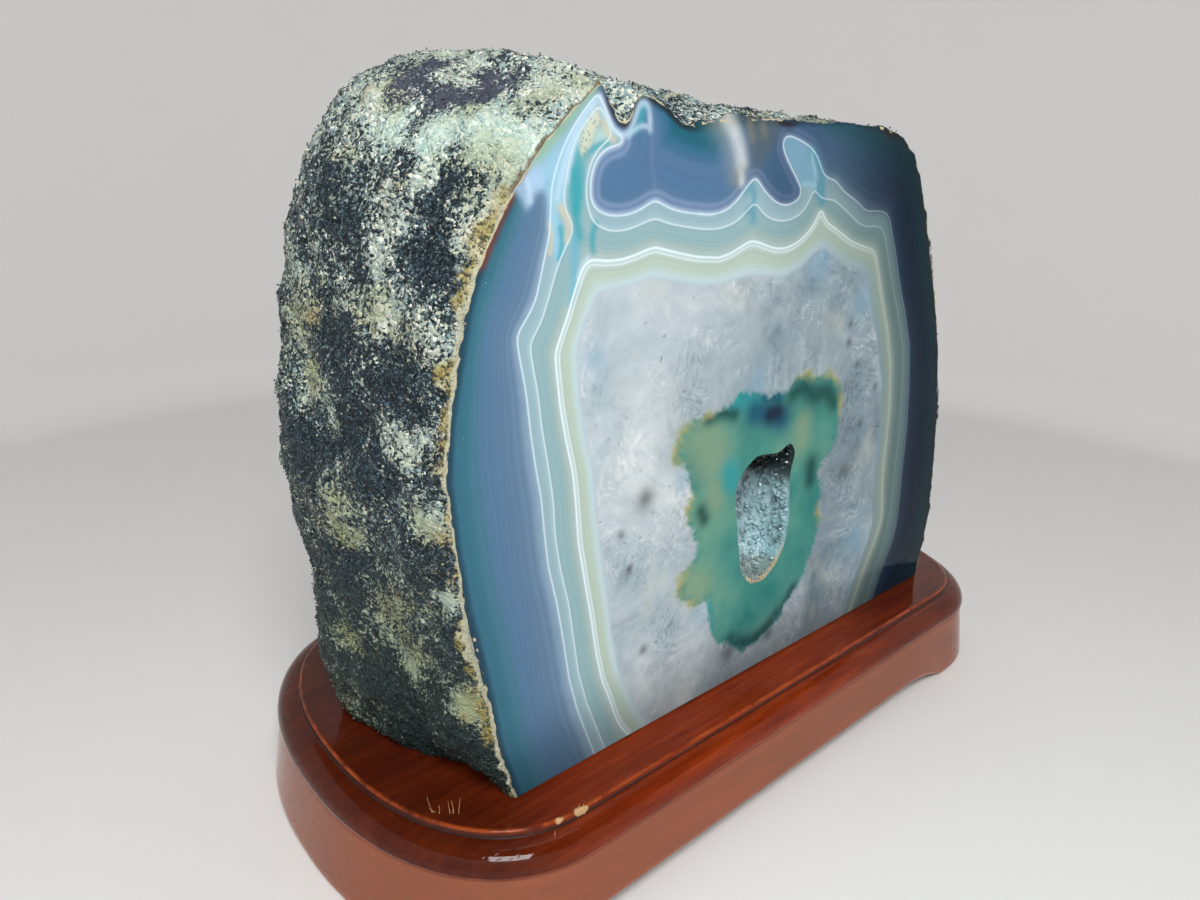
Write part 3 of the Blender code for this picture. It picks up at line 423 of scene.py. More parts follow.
# Rim, foot and polish of the face
RIM_NOISE, RIM_WIDTH = (500.0, 4.0), 0.7
RIM_SHADE, RIM_SHADE_REACH, RIM_SHADE_STRENGTH = (24, 42, 52), (1.7, 0.4), 0.6
RIM_EDGE, RIM_EDGE_REACH = (198, 190, 158), (0.3, 0.1)
# Darker towards the foot of the face: painted shade, standing in for the stand's shadow and its dark reflection in
# the face
FOOT_PAINTED_SHADE, FOOT_PAINTED_SHADE_STEP = (16, 36, 48), (0.046, 0.026, 0.0, 0.4)
FACE_LAYERS = (((212, 222, 230), 0.45, (1500.0, 1.0, 0.5, 0.77, 0.8), (90.0, 1.0, 0.5, 0.5, 0.62)),)
SCRATCH_STRETCH, SCRATCH_NOISE, SCRATCH_STEP = ((1.0, 1.0, 0.12), (0.0, 0.5, 0.0)), (2600.0, 2.0), (0.6, 0.8, 0.035, 0.1)
QUARTZ_IOR, FACE_GLOSS = 1.54, 0.05

# Rind: where its grains are light, then their colours
LARGE_STRETCH, LARGE_NOISE = ((1.0, 0.75, 1.6), (0.5, 0.0, 0.2)), (52.0, 3.0, 0.6)
LARGE_SHARE, LARGE_BASE, MEDIUM_NOISE, MEDIUM_SHARE = 0.7, -0.11, (200.0, 4.0, 0.65), 1.5
PATCH_PULLS = (("cream", 0.42), ("mint", 0.75), ("olive", 0.36), ("dark", -0.3), ("purple", -0.62))
# Fewer light grains low down on the rind: painted shade near the stand
LOW_PAINTED_SHADE, TOP_LIGHTENING = (0.110, 0.024, 0.0, 0.12), (0.128, 0.146, 0.0, 0.26)
LIT_STEP = (-0.2, 0.16)
PALE_TONES = ((0.0, (112, 140, 150)), (0.3, (150, 174, 174)), (0.6, (188, 200, 184)), (0.86, (214, 216, 196)),
              (1.0, (244, 247, 242)))
PALE_TINTS = (("mint", 0.6, (190, 216, 202)), ("cream", 0.5, (196, 202, 182)))
# A darker tint of the light grains low down: painted shade near the stand
LOW_PALE_IN_PAINTED_SHADE, LOW_PALE_PAINTED_SHADE_STEP = (104, 122, 92), (0.100, 0.040, 0.0, 0.62)
OLIVE_PATCHES, OLIVE_COLOUR, OLIVE_STRENGTH = (74.0, 3.0, 0.5, 0.52, 0.64, 0.6), (154, 158, 108), 0.7
STAIN_STRETCH, STAIN_SCALE, STAIN_STEP = (1.3, 1.0, 0.9), 120.0, (0.6, 0.7, 0.0, 0.55)
STAIN_COLOUR, STAIN_STRENGTH = (168, 144, 74), 0.7
DEEP_TONES = ((0.0, (3, 9, 14)), (0.45, (13, 28, 38)), (0.8, (36, 56, 70)), (1.0, (92, 116, 128)))
# A darker, greener tint of the dark grains low down: partly the rind's own colour, partly painted shade near the
# stand
LOW_DEEP_IN_PAINTED_SHADE, LOW_DEEP_PAINTED_SHADE_STEP = (12, 34, 26), (0.085, 0.03, 0.15, 0.75)
PURPLE_STRENGTH, PURPLE_COLOUR = 0.85, (74, 76, 92)
CELL_SCALES, COARSE_SHARE = (1800.0, 3300.0), 0.62
RIND_BUMP, RIND_BUMP_STRENGTH, GLINT_STEP, RIND_GLOSS = 0.32, 0.9, (0.8, 0.86, 0.55, 0.1), 0.32

# Crust of the rind along the face, its strength over (height or length), and the border at its very edge
CRUST_BY_HEIGHT = ((20.0, 60.0, 90.0, 122.0, 133.0, 137.0), (0.75, 1.0, 0.9, 1.0, 0.9, 0.15))
EAST_CRUST, CRUST_BY_LENGTH, BRINK_BY_LENGTH = 0.5, ((-70.0, -58.0), (1.0, 0.6)), ((-60.0, -56.0), (0.0, 1.0))
CRUST_NOISE, CRUST_RAG, CRUST_REACH = (430.0, 4.0, 0.7), 2.4, (130.0, 3.0, 0.5, 0.42, 0.64, 2.3)
CRUST_EDGE, CRUST_HOLES, CRUST_MOTTLE = (0.35, -0.35), (360.0, 3.0, 0.5, 0.36, 0.48), (260.0, 2.0, 0.5, 0.42, 0.6)
CRUST_PALE, CRUST_OCHRE, CRUST_DARK = (196, 190, 152), (160, 146, 84), (52, 58, 46)
CRUST_GRAINS, CRUST_FROM = (0.5, 0.66, 0.0, 0.85), (0.1, 0.3, 0.0, 0.85)
BORDER_GROWTH, BORDER_RAG, BORDER_STEP, BORDER_REACH = -0.12, 0.3, (0.3, 0.7), (0.26, 0.04, 0.0, 0.85)
BORDER_BROWN, BORDER_PALE, BORDER_DARK = (96, 80, 52), (184, 184, 160), (44, 40, 30)

# Loose grains, each an uneven octahedron with numbers of its own
GRAIN_COUNT, GRAIN_SIZE, GRAIN_SEEDS = 24000, (0.12, 0.30), (21, 22)
GRAIN_SEAT_GAP, GRAIN_RIM_GAP, GRAIN_RIM_SHARE = 0.4, 0.7, 0.2
GRAIN_STRAY, GRAIN_SINK, GRAIN_FACE_GAP, GRAIN_UNEVENNESS = 0.2, 0.15, 1.1, (0.55, 1.25)
GRAIN_NUMBERS = ("grain_a", "grain_b", "grain_c", "grain_d")
GRAIN_NOISE, GRAIN_BUMP = (2600.0, 2.0), 0.06
OCTAHEDRON = np.array([(1, 0, 0), (0, 1, 0), (-1, 0, 0), (0, -1, 0), (0, 0, 1), (0, 0, -1)], float)
OCTAHEDRON_FACES = np.array([(0, 1, 4), (1, 2, 4), (2, 3, 4), (3, 0, 4), (1, 0, 5), (2, 1, 5), (3, 2, 5), (0, 3, 5)])

# Pocket, with its levels as (waver, from, to, strength, tint), and the quartz points on its wall
MILK_NOISE, MILK_TONES = (330.0, 4.0, 0.6), ((0.3, (112, 118, 134)), (0.5, (170, 178, 192)), (0.7, (236, 242, 248)))
MILK_EAST, MILK_EAST_STEP, MILK_EAST_STRENGTH = (140, 196, 198), (-0.008, 0.002), 0.55
MILK_LEVELS = ((0.0, 0.062, 0.054, 0.5, (138, 182, 188)), (0.004, 0.0545, 0.0515, 0.55, (110, 118, 98)),
               (0.006, 0.0715, 0.0775, 0.93, (14, 24, 24)))
MILK_LAYERS = (((64, 74, 80), 0.6, (240.0, 3.0, 0.5, 0.58, 0.68)),)
LIP_DEPTH, LIP_HEIGHT, LIP_COLOUR, LIP_STRENGTH = (0.0012, 0.0004), (0.058, 0.050), (196, 176, 140), 0.8
POCKET_CELLS, POCKET_BUMP, POCKET_BUMP_STRENGTH = 1000.0, 0.3, 0.8
POINT_ROUGHNESS, POCKET_ROUGHNESS = 0.08, 0.3
CRYSTAL_COUNT, CRYSTAL_SEED, CRYSTAL_FROM, CRYSTAL_LEAN, CRYSTAL_GAP = 900, 11, 1.2, 0.28, 0.15
CRYSTAL_RADIUS, CRYSTAL_SLIMNESS, POCKET_MIDDLE_DEPTH = (0.22, 0.62), (1.5, 2.6), 4.0
POINT_SHOULDER, POINT_UNEVEN, POINT_ROOT, POINT_OFF = 0.62, 0.1, 0.3, 0.2

# How finely the pieces are made
RIM_COUNT, RIM_ROUNDING, POCKET_SAMPLES, POCKET_ROUNDING = 700, 5, 120, 3
SIDE_ROWS, BACK_ROWS, ROW_SPREAD, POLE_LIFT = 66, 58, 1.12, 0.05
STAND_END_STEPS, STAND_SIDE_STEPS, SKIRT_STEPS, ROLL_STEPS = 40, 46, 12, 14
FACE_STEP, FOLD_STEP, LATTICE_RISE, LATTICE_CLEARANCE = 0.85, 0.5, 0.866, 0.6
FACE_BOX, FOLD_BOX = (-92.0, 78.0, 20.0, 154.0), (-92.0, -42.0, 116.0, 154.0)
LINE_STEP, LINE_LEAST, LINE_ROUNDING, LINE_DEPTH = 0.7, 8, 3, -40.0
TINY, MESH_TOLERANCE = 1e-12, 1e-7


def mesh_object(name, verts, faces, smooth=True, made_of=None):
    """An object from vertices in millimetres."""
    mesh = bpy.data.meshes.new(name)
    mesh.from_pydata((np.asarray(verts, float) * MM).tolist(), [], faces)
    mesh.polygons.foreach_set("use_smooth", [smooth] * len(mesh.polygons))
    made = bpy.data.objects.new(name, mesh)
    bpy.context.scene.collection.objects.link(made)
    if made_of:
        mesh.materials.append(made_of)
    return made


def stands_for(piece, node):
    """The piece rides on the part's one body and is seen in place of a CAD node."""
    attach(piece, "root")
    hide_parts(node)


def number_on_points(piece, name, values):
    """Keeps one number per vertex on a piece, for its material to read."""
    kept = piece.data.attributes.new(name, "FLOAT", "POINT")
    kept.data.foreach_set("value", np.asarray(values, dtype=np.float32))


def ring_faces(rows, count, first=0):
    """Faces between rows of count vertices that close on themselves."""
    i = np.arange(count)
    j = (i + 1) % count
    quads = []
    for row in range(rows - 1):
        low, high = first + row * count, first + (row + 1) * count
        quads.append(np.column_stack([low + i, low + j, high + j, high + i]))
    return np.concatenate(quads).tolist()


def tip_faces(rows, count):
    """Triangles from the last of the rows to the one vertex after it."""
    last = (rows - 1) * count
    return [[last + i, last + (i + 1) % count, rows * count] for i in range(count)]


def smooth_ring(values, passes):
    for _ in range(passes):
        values = (np.roll(values, 1, axis=0) + 2 * values + np.roll(values, -1, axis=0)) / 4
    return values


def run_along(points):
    """The length travelled from the first point of a line to each of its points."""
    return np.concatenate([[0.0], np.cumsum(np.linalg.norm(np.diff(points, axis=0), axis=1))])


def spaced(points, run, where):
    return np.column_stack([np.interp(where, run, points[:, k]) for k in (0, 1)])


def along(points, count):
    """count points spaced evenly along a closed outline."""
    loop = np.array(points + points[:1])
    run = run_along(loop)
    return spaced(loop, run, np.linspace(0.0, run[-1], count, endpoint=False))


# Camera, stage and light
def aim_camera():
    pitch, yaw, roll = (math.radians(a) for a in (CAMERA_PITCH, CAMERA_YAW, CAMERA_ROLL))
    ahead = Vector((math.sin(yaw) * math.cos(pitch), math.cos(yaw) * math.cos(pitch), -math.sin(pitch)))
    right = Vector((math.cos(yaw), -math.sin(yaw), 0.0))
    up = right.cross(ahead)
    across = math.cos(roll) * right + math.sin(roll) * up
    upward = -math.sin(roll) * right + math.cos(roll) * up
    lens = bpy.data.cameras.new("camera")
    lens.lens, lens.sensor_width = CAMERA_LENS, CAMERA_SENSOR
    lens.clip_start, lens.clip_end = CAMERA_CLIP
    camera = bpy.data.objects.new("camera", lens)
    bpy.context.scene.collection.objects.link(camera)
    turn = Matrix((across, upward, -ahead)).transposed().to_4x4()
    camera.matrix_world = Matrix.Translation(Vector(CAMERA_PLACE) * MM) @ turn
    bpy.context.scene.camera = camera


def build_stage():
    """A pale floor that curves up into a round wall, so that it looks the same from every side."""
    profile = [(FLOOR_RADIUS * 0.5, 0.0), (FLOOR_RADIUS, 0.0)]
    for k in range(1, COVE_STEPS + 1):
        a = math.pi / 2 * k / COVE_STEPS
        profile.append((FLOOR_RADIUS + COVE_RADIUS * math.sin(a), COVE_RADIUS * (1 - math.cos(a))))
    profile.append((FLOOR_RADIUS + COVE_RADIUS, WALL_HEIGHT))
    turns = [2 * math.pi * k / ROUND_STEPS for k in range(ROUND_STEPS)]
    verts = [(radius * math.cos(a), radius * math.sin(a), z) for radius, z in profile for a in turns]
    faces = ring_faces(len(profile), ROUND_STEPS)
    faces.append(list(range(ROUND_STEPS))[::-1])
    plain = bpy.data.materials.new("pale_floor")
    plain.use_nodes = True
    shader = plain.node_tree.nodes["Principled BSDF"]
    shader.inputs["Base Color"].default_value = FLOOR_COLOUR
    shader.inputs["Roughness"].default_value = FLOOR_ROUGHNESS
    shader.inputs["Specular IOR Level"].default_value = FLOOR_GLOSS
    mesh_object("floor", verts, faces, True, plain)


def soft_light(name, place, target, size, power):
    lamp = bpy.data.lights.new(name, "AREA")
    lamp.shape, lamp.size, lamp.size_y = "RECTANGLE", size[0] * MM, size[1] * MM
    lamp.energy = power
    made = bpy.data.objects.new(name, lamp)
    bpy.context.scene.collection.objects.link(made)
    made.location = Vector(place) * MM
    made.rotation_euler = (Vector(target) - Vector(place)).to_track_quat("-Z", "Y").to_euler()


def light_scene():
    """A soft key lamp from the camera's side, a weaker one overhead, and an even light all round."""
    world = bpy.data.worlds.new("room")
    bpy.context.scene.world = world
    world.use_nodes = True
    world.node_tree.nodes["Background"].inputs["Strength"].default_value = ROOM_LIGHT
    for lamp in LIGHTS:
        soft_light(*lamp)
    bpy.context.scene.view_settings.view_transform = "Standard"


# Materials
def linear(colour):
    """A colour of 0 to 255 as Blender's linear values."""
    parts = [c / 255 for c in colour]
    return (*(c / 12.92 if c <= 0.04045 else ((c + 0.055) / 1.055) ** 2.4 for c in parts), 1.0)


class Wiring:
    """Short calls for wiring the nodes of one material."""

    def __init__(self, name):
        self.material = bpy.data.materials.new(name)
        self.material.use_nodes = True
        self.tree = self.material.node_tree
        self.shader = self.tree.nodes["Principled BSDF"]
        self.place = self.tree.nodes.new("ShaderNodeTexCoord").outputs["Object"]

    def feed(self, socket, value):
        if isinstance(value, bpy.types.NodeSocket):
            self.tree.links.new(value, socket)
        elif socket.type == "RGBA" and len(value) == 3:
            socket.default_value = linear(value)
        else:
            socket.default_value = value

    def node(self, kind, inputs, output=0, **settings):
        made = self.tree.nodes.new(kind)
        for key, value in settings.items():
            setattr(made, key, value)
        for key, value in inputs.items():
            self.feed(made.inputs[key], value)
        return made.outputs[output]

    def number(self, name):
        return self.node("ShaderNodeAttribute", {}, "Fac", attribute_name=name)

    def axes(self):
        """X, Y and Z of the place, in metres."""
        return self.node("ShaderNodeSeparateXYZ", {0: self.place}).node.outputs

    def math(self, operation, *values, clamp=False):
        return self.node("ShaderNodeMath", dict(enumerate(values)), operation=operation, use_clamp=clamp)

    def plus(self, a, b, clamp=False):
        return self.math("ADD", a, b, clamp=clamp)

    def minus(self, a, b):
        return self.math("SUBTRACT", a, b)

    def times(self, a, b, clamp=False):
        return self.math("MULTIPLY", a, b, clamp=clamp)

    def sway(self, value, width):
        """Noise turned into a push of up to half the width either way."""
        return self.math("MULTIPLY_ADD", value, width, -width / 2)

    def mix(self, share, a, b):
        return self.node("ShaderNodeMix", {0: share, 6: a, 7: b}, 2, data_type="RGBA")

    def lay(self, colour, tint, share, strength=1.0):
        """A tint laid over a colour where share says so."""
        if strength < 1.0:
            share = self.times(share, strength)
        return self.mix(share, colour, tint)

    def step(self, value, low, high, to_low=0.0, to_high=1.0):
        """Rises smoothly from to_low to to_high as value goes from low to high."""
        inputs = {0: value, 1: low, 2: high, 3: to_low, 4: to_high}
        return self.node("ShaderNodeMapRange", inputs, interpolation_type="SMOOTHSTEP")

    def ramp(self, value, stops):
        """A colour for each value from (place, colour) pairs."""
        made = self.tree.nodes.new("ShaderNodeValToRGB")
        self.feed(made.inputs[0], value)
        line = made.color_ramp
        while len(line.elements) < len(stops):
            line.elements.new(0.5)
        for element, (place, colour) in zip(line.elements, stops):
            element.position = place
        for element, (place, colour) in zip(line.elements, stops):
            element.color = linear(colour)
        return made.outputs[0]

    def stretch(self, vector, scale, turn=(0.0, 0.0, 0.0)):
        return self.node("ShaderNodeMapping", {"Vector": vector, "Scale": scale, "Rotation": turn})

    def noise(self, vector, scale, detail=3.0, roughness=0.5, distortion=0.0, output=0):
        inputs = {"Vector": vector, "Scale": scale, "Detail": detail, "Roughness": roughness,
                  "Distortion": distortion}
        return self.node("ShaderNodeTexNoise", inputs, output)

    def patches(self, scale, detail, roughness, low, high, most=1.0):
        """Soft-edged patches where noise goes from low to high."""
        return self.step(self.noise(self.place, scale, detail, roughness), low, high, 0.0, most)

    def cells(self, vector, scale, output="Color"):
        return self.node("ShaderNodeTexVoronoi", {"Vector": vector, "Scale": scale}, output)

    def channels(self, colour):
        """Red, green and blue of a colour."""
        return self.node("ShaderNodeSeparateColor", {0: colour}).node.outputs

    def lines(self, value, scale, detail):
        """Noise along one number, for fine parallel lines."""
        inputs = {"W": value, "Scale": scale, "Detail": detail}
        return self.node("ShaderNodeTexNoise", inputs, noise_dimensions="1D")

    def bump(self, height, depth, strength=1.0):
        inputs = {"Height": height, "Distance": depth * MM, "Strength": strength}
        self.feed(self.shader.inputs["Normal"], self.node("ShaderNodeBump", inputs))

    def layers(self, colour, rows):
        """Tints laid over a colour in patches, as (tint, strength, patches that all have to agree)."""
        for tint, strength, first, *others in rows:
            share = self.patches(*first)
            for other in others:
                share = self.times(share, self.patches(*other))
            colour = self.lay(colour, tint, share, strength)
        return colour

    def finish(self, colour, roughness, ior, gloss=0.5):
        self.feed(self.shader.inputs["Base Color"], colour)
        self.feed(self.shader.inputs["Roughness"], roughness)
        self.shader.inputs["IOR"].default_value = ior
        self.shader.inputs["Specular IOR Level"].default_value = gloss
        return self.material


def band_colours(w, east, waver):
    """The bands from the rim to the quartz, the bays outside the first white line, and their fine stripes."""
    band = w.number("band")
    spread = w.times(w.plus(band, w.sway(waver, BAND_WAVER)), 1 / BAND_SPAN)
    bays = w.ramp(w.math("DIVIDE", w.number("away"), AWAY_REACH), BAY_BANDS)
    x = w.axes()[0]
    for start, end, strength, tint in BAY_SHADES:
        bays = w.mix(w.step(x, start, end, 0.0, strength), bays, tint)
    # From the painted-lit west ramp to the east ramp in painted shade
    colour = w.mix(east, w.ramp(spread, WEST_BANDS), w.ramp(spread, EAST_BANDS_IN_PAINTED_SHADE))
    colour = w.mix(w.number("bay"), colour, bays)
    stripes = w.node("ShaderNodeMix", {0: w.number("bay"), 2: w.lines(band, *BAND_STRIPES),
                                       3: w.lines(w.number("away"), *BAY_STRIPES)})
    contrast = w.times(w.minus(stripes, 0.5), w.math("LESS_THAN", band, QUARTZ_BAND))
    colour = w.mix(w.math("MULTIPLY_ADD", contrast, STRIPE_CONTRAST, 1.0), (0, 0, 0), colour)
    colour.node.clamp_factor = False
    return colour


def blades(w, vector, spread, width, length):
    """Noise drawn out along one direction per cell, as in sheaves of crystals. Lengths are in millimetres."""
    turn = w.times(w.channels(w.cells(vector, 1 / (spread * MM)))[0], math.pi)
    turned = w.node("ShaderNodeVectorRotate", {"Vector": vector, "Angle": turn}, rotation_type="Y_AXIS")
    return w.noise(w.stretch(turned, (1.0, 1.0, width / length)), 1 / (width * MM), *BLADE_NOISE)


def fan_place(w):
    """A place given by direction and distance from the pocket, for fibres that point at it."""
    return w.node("ShaderNodeCombineXYZ", {k: w.number(name) for k, name in enumerate(FAN)})


def quartz_light(w, fan):
    """Brightness of the quartz: soft clouds, fibres towards the pocket, and sheaves of blades."""
    shift = w.node("ShaderNodeVectorMath", {0: w.noise(w.place, *SHIFT_NOISE, output=1), "Scale": SHIFT_REACH},
                   operation="SCALE")
    warped = w.node("ShaderNodeVectorMath", {0: w.place, 1: shift})
    grey = w.math("MULTIPLY_ADD", w.noise(w.place, *CLOUD_NOISE), CLOUD_SHARE, CLOUD_BASE)
    grey = w.plus(grey, w.sway(w.noise(fan, *FIBRE_NOISE), FIBRE_SHARE))
    feathery = w.step(w.noise(w.place, FEATHER_SCALE), *FEATHER_STEP)
    for spread, width, length, light, dark in BLADES:
        blade = blades(w, warped, spread, width, length)
        blade = w.math("MULTIPLY_ADD", w.minus(blade, BLADE_MIDDLE), feathery, BLADE_MIDDLE)
        grey = w.plus(grey, w.step(blade, *BLADE_LIGHT, 0.0, light))
        grey = w.minus(grey, w.step(blade, *BLADE_DARK, 0.0, dark))
    return grey


def quartz_colours(w, fan):
    grey = quartz_light(w, fan)
    # From the painted-lit west quartz to the east quartz in painted shade
    colour = w.mix(w.step(w.axes()[0], *QUARTZ_SIDES), w.ramp(grey, WEST_QUARTZ), w.ramp(grey, EAST_QUARTZ_IN_PAINTED_SHADE))
    colour = w.layers(colour, QUARTZ_LAYERS)
    for name, strength, tint in QUARTZ_MARKS:
        colour = w.lay(colour, tint, w.number(name), strength)
    return colour


def fold_colours(w, colour):
    """The soft areas and strokes of the folds, with a speckle in the wedge."""
    cloudy = w.step(w.noise(w.place, *CLOUDY_NOISE), *CLOUDY_STEP)
    for name, tint, strength, *_ in AREAS + STROKES:
        colour = w.lay(colour, tint, w.times(w.number(name), cloudy), strength)
    dots = w.step(w.cells(w.place, SPECKLE_SCALE, "Distance"), *SPECKLE_STEP)
    return w.lay(colour, SPECKLE_COLOUR, w.times(w.number("wedge"), dots), SPECKLE_STRENGTH)


def white_lines(w, colour, east):
    """The fine white lines between the bands, fainter towards the east."""
    plain = w.minus(1.0, w.times(east, EAST_FADE))
    for name, centre, half, strength, tint in WHITE_LINES:
        off = w.math("ABSOLUTE", w.minus(w.number(name), centre))
        near = w.step(off, half * LINE_OUTER, half * LINE_INNER)
        colour = w.lay(colour, tint, w.times(near, plain), strength)
    return colour


def green_zone(w, colour, fan):
    """The green zone round the pocket, ragged and needled at its edge and ochre at its tips."""
    inward = w.number("green")
    rag = w.plus(w.sway(w.noise(fan, *RAG_NOISE), RAG_WIDTH), w.sway(w.noise(w.place, *FRAY_NOISE), FRAY_WIDTH))
    green = w.plus(inward, rag)
    body = w.ramp(w.noise(w.place, GREEN_SCALE), GREEN_TONES)
    for name, shade, strength, _ in GREEN_STROKES:
        body = w.lay(body, shade, w.number(name), strength)
    needles = w.times(w.step(inward, *NEEDLE_REACH), w.step(w.noise(fan, *NEEDLE_NOISE), *NEEDLE_STEP))
    body = w.lay(body, NEEDLE_COLOUR, needles, NEEDLE_STRENGTH)
    colour = w.mix(w.step(green, *GREEN_EDGE), colour, body)
    edge = w.times(w.step(green, *OCHRE_OUTER), w.step(green, *OCHRE_INNER))
    return w.lay(colour, OCHRE_COLOUR, w.times(edge, w.number("ochre")), OCHRE_STRENGTH)


def polished_agate():
    w = Wiring("polished_agate")
    fan = fan_place(w)
    # The east side, whose colours carry painted shade
    east = w.step(w.axes()[0], *EAST_SIDE)
    waver = w.noise(w.place, WAVER_SCALE)
    in_quartz = w.step(w.math("MULTIPLY_ADD", waver, BAND_WAVER, w.number("band")), *QUARTZ_EDGE)
    colour = w.mix(in_quartz, band_colours(w, east, waver), quartz_colours(w, fan))
    rim = w.plus(w.number("rim"), w.sway(w.noise(w.place, *RIM_NOISE), RIM_WIDTH))
    colour = w.lay(colour, RIM_SHADE, w.step(rim, *RIM_SHADE_REACH), RIM_SHADE_STRENGTH)
    colour = fold_colours(w, colour)
    colour = white_lines(w, colour, east)
    colour = green_zone(w, colour, fan)
    colour = w.mix(w.step(rim, *RIM_EDGE_REACH), colour, RIM_EDGE)
    # Painted shade towards the foot, for the stand's shadow and dark reflection
    colour = w.mix(w.step(w.axes()[2], *FOOT_PAINTED_SHADE_STEP), colour, FOOT_PAINTED_SHADE)
    colour = w.layers(colour, FACE_LAYERS)
    scratch = w.noise(w.stretch(w.place, *SCRATCH_STRETCH), *SCRATCH_NOISE)
    return w.finish(colour, w.step(scratch, *SCRATCH_STEP), QUARTZ_IOR, FACE_GLOSS)


def light_share(w, height):
    """How much of the rind is light grains, from large and middling noise, the patches and the height; fewer low down
    is painted shade.
    """
    large = w.noise(w.stretch(w.place, *LARGE_STRETCH), *LARGE_NOISE)
    share = w.math("MULTIPLY_ADD", large, LARGE_SHARE, LARGE_BASE)
    share = w.plus(share, w.sway(w.noise(w.place, *MEDIUM_NOISE), MEDIUM_SHARE))
    for name, pull in PATCH_PULLS:
        share = w.math("MULTIPLY_ADD", w.number(name), pull, share)
    # Painted shade: fewer light grains low down near the stand
    share = w.minus(share, w.step(height, *LOW_PAINTED_SHADE))
    return w.plus(share, w.step(height, *TOP_LIGHTENING))


def light_grains(w, hue, height):
    pale = w.ramp(hue, PALE_TONES)
    for name, strength, tint in PALE_TINTS:
        pale = w.mix(w.times(w.number(name), strength, clamp=True), pale, tint)
    # Painted shade: the light grains darker low down
    pale = w.mix(w.step(height, *LOW_PALE_PAINTED_SHADE_STEP), pale, LOW_PALE_IN_PAINTED_SHADE)
    olive = w.plus(w.number("olive"), w.patches(*OLIVE_PATCHES), clamp=True)
    pale = w.lay(pale, OLIVE_COLOUR, olive, OLIVE_STRENGTH)
    blots = w.step(w.noise(w.stretch(w.place, STAIN_STRETCH), STAIN_SCALE), *STAIN_STEP)
    stain = w.plus(w.number("rust"), blots, clamp=True)
    return w.lay(pale, STAIN_COLOUR, stain, STAIN_STRENGTH)


def dark_grains(w, hue, height):
    # Dark grains greener and darker low down, partly painted shade
    deep = w.mix(w.step(height, *LOW_DEEP_PAINTED_SHADE_STEP), w.ramp(hue, DEEP_TONES), LOW_DEEP_IN_PAINTED_SHADE)
    return w.mix(w.times(w.number("purple"), PURPLE_STRENGTH, clamp=True), deep, PURPLE_COLOUR)


def rim_crust(w, colour, tone):
    """Ochre blotches on the rind along the polished face, and a thin pale border at its very edge."""
    crust, depth = w.number("crust"), w.number("depth")
    ragged = w.sway(w.noise(w.place, *CRUST_NOISE), CRUST_RAG)
    reach = w.times(crust, w.patches(*CRUST_REACH))
    blotch = w.step(w.minus(w.plus(depth, ragged), reach), *CRUST_EDGE)
    blotch = w.times(blotch, w.patches(*CRUST_HOLES))
    ochre = w.mix(w.patches(*CRUST_MOTTLE), CRUST_PALE, CRUST_OCHRE)
    ochre = w.mix(w.step(tone, *CRUST_GRAINS), ochre, CRUST_DARK)
    colour = w.mix(w.times(blotch, w.step(crust, *CRUST_FROM)), colour, ochre)
    thin = w.math("MULTIPLY_ADD", crust, BORDER_GROWTH, w.math("MULTIPLY_ADD", ragged, BORDER_RAG, depth))
    border = w.mix(w.step(crust, *BORDER_STEP), BORDER_BROWN, BORDER_PALE)
    border = w.mix(w.number("brink"), border, BORDER_DARK)
    return w.mix(w.step(thin, *BORDER_REACH), colour, border)


def rough_rind(name, loose):
    """Sugary grains of quartz in dark and light patches, as one surface or, if loose, one tone per grain."""
    w = Wiring(name)
    if loose:
        tone, hue, dark_hue, glint = (w.number(key) for key in GRAIN_NUMBERS)
        w.bump(w.noise(w.place, *GRAIN_NOISE), GRAIN_BUMP)
    else:
        coarse, fine = (w.channels(w.cells(w.place, scale)) for scale in CELL_SCALES)
        tone = w.plus(w.times(coarse[0], COARSE_SHARE), w.times(fine[0], 1.0 - COARSE_SHARE))
        hue, dark_hue, glint = coarse[1], fine[1], fine[2]
        big, small = (w.cells(w.place, scale, "Distance") for scale in CELL_SCALES)
        w.bump(w.times(w.plus(big, w.times(small, 0.5)), -1.0), RIND_BUMP, RIND_BUMP_STRENGTH)
    height = w.axes()[2]
    lit = w.step(w.minus(light_share(w, height), tone), *LIT_STEP)
    colour = w.mix(lit, dark_grains(w, dark_hue, height), light_grains(w, hue, height))
    colour = rim_crust(w, colour, tone)
    return w.finish(colour, w.step(glint, *GLINT_STEP), QUARTZ_IOR, RIND_GLOSS)


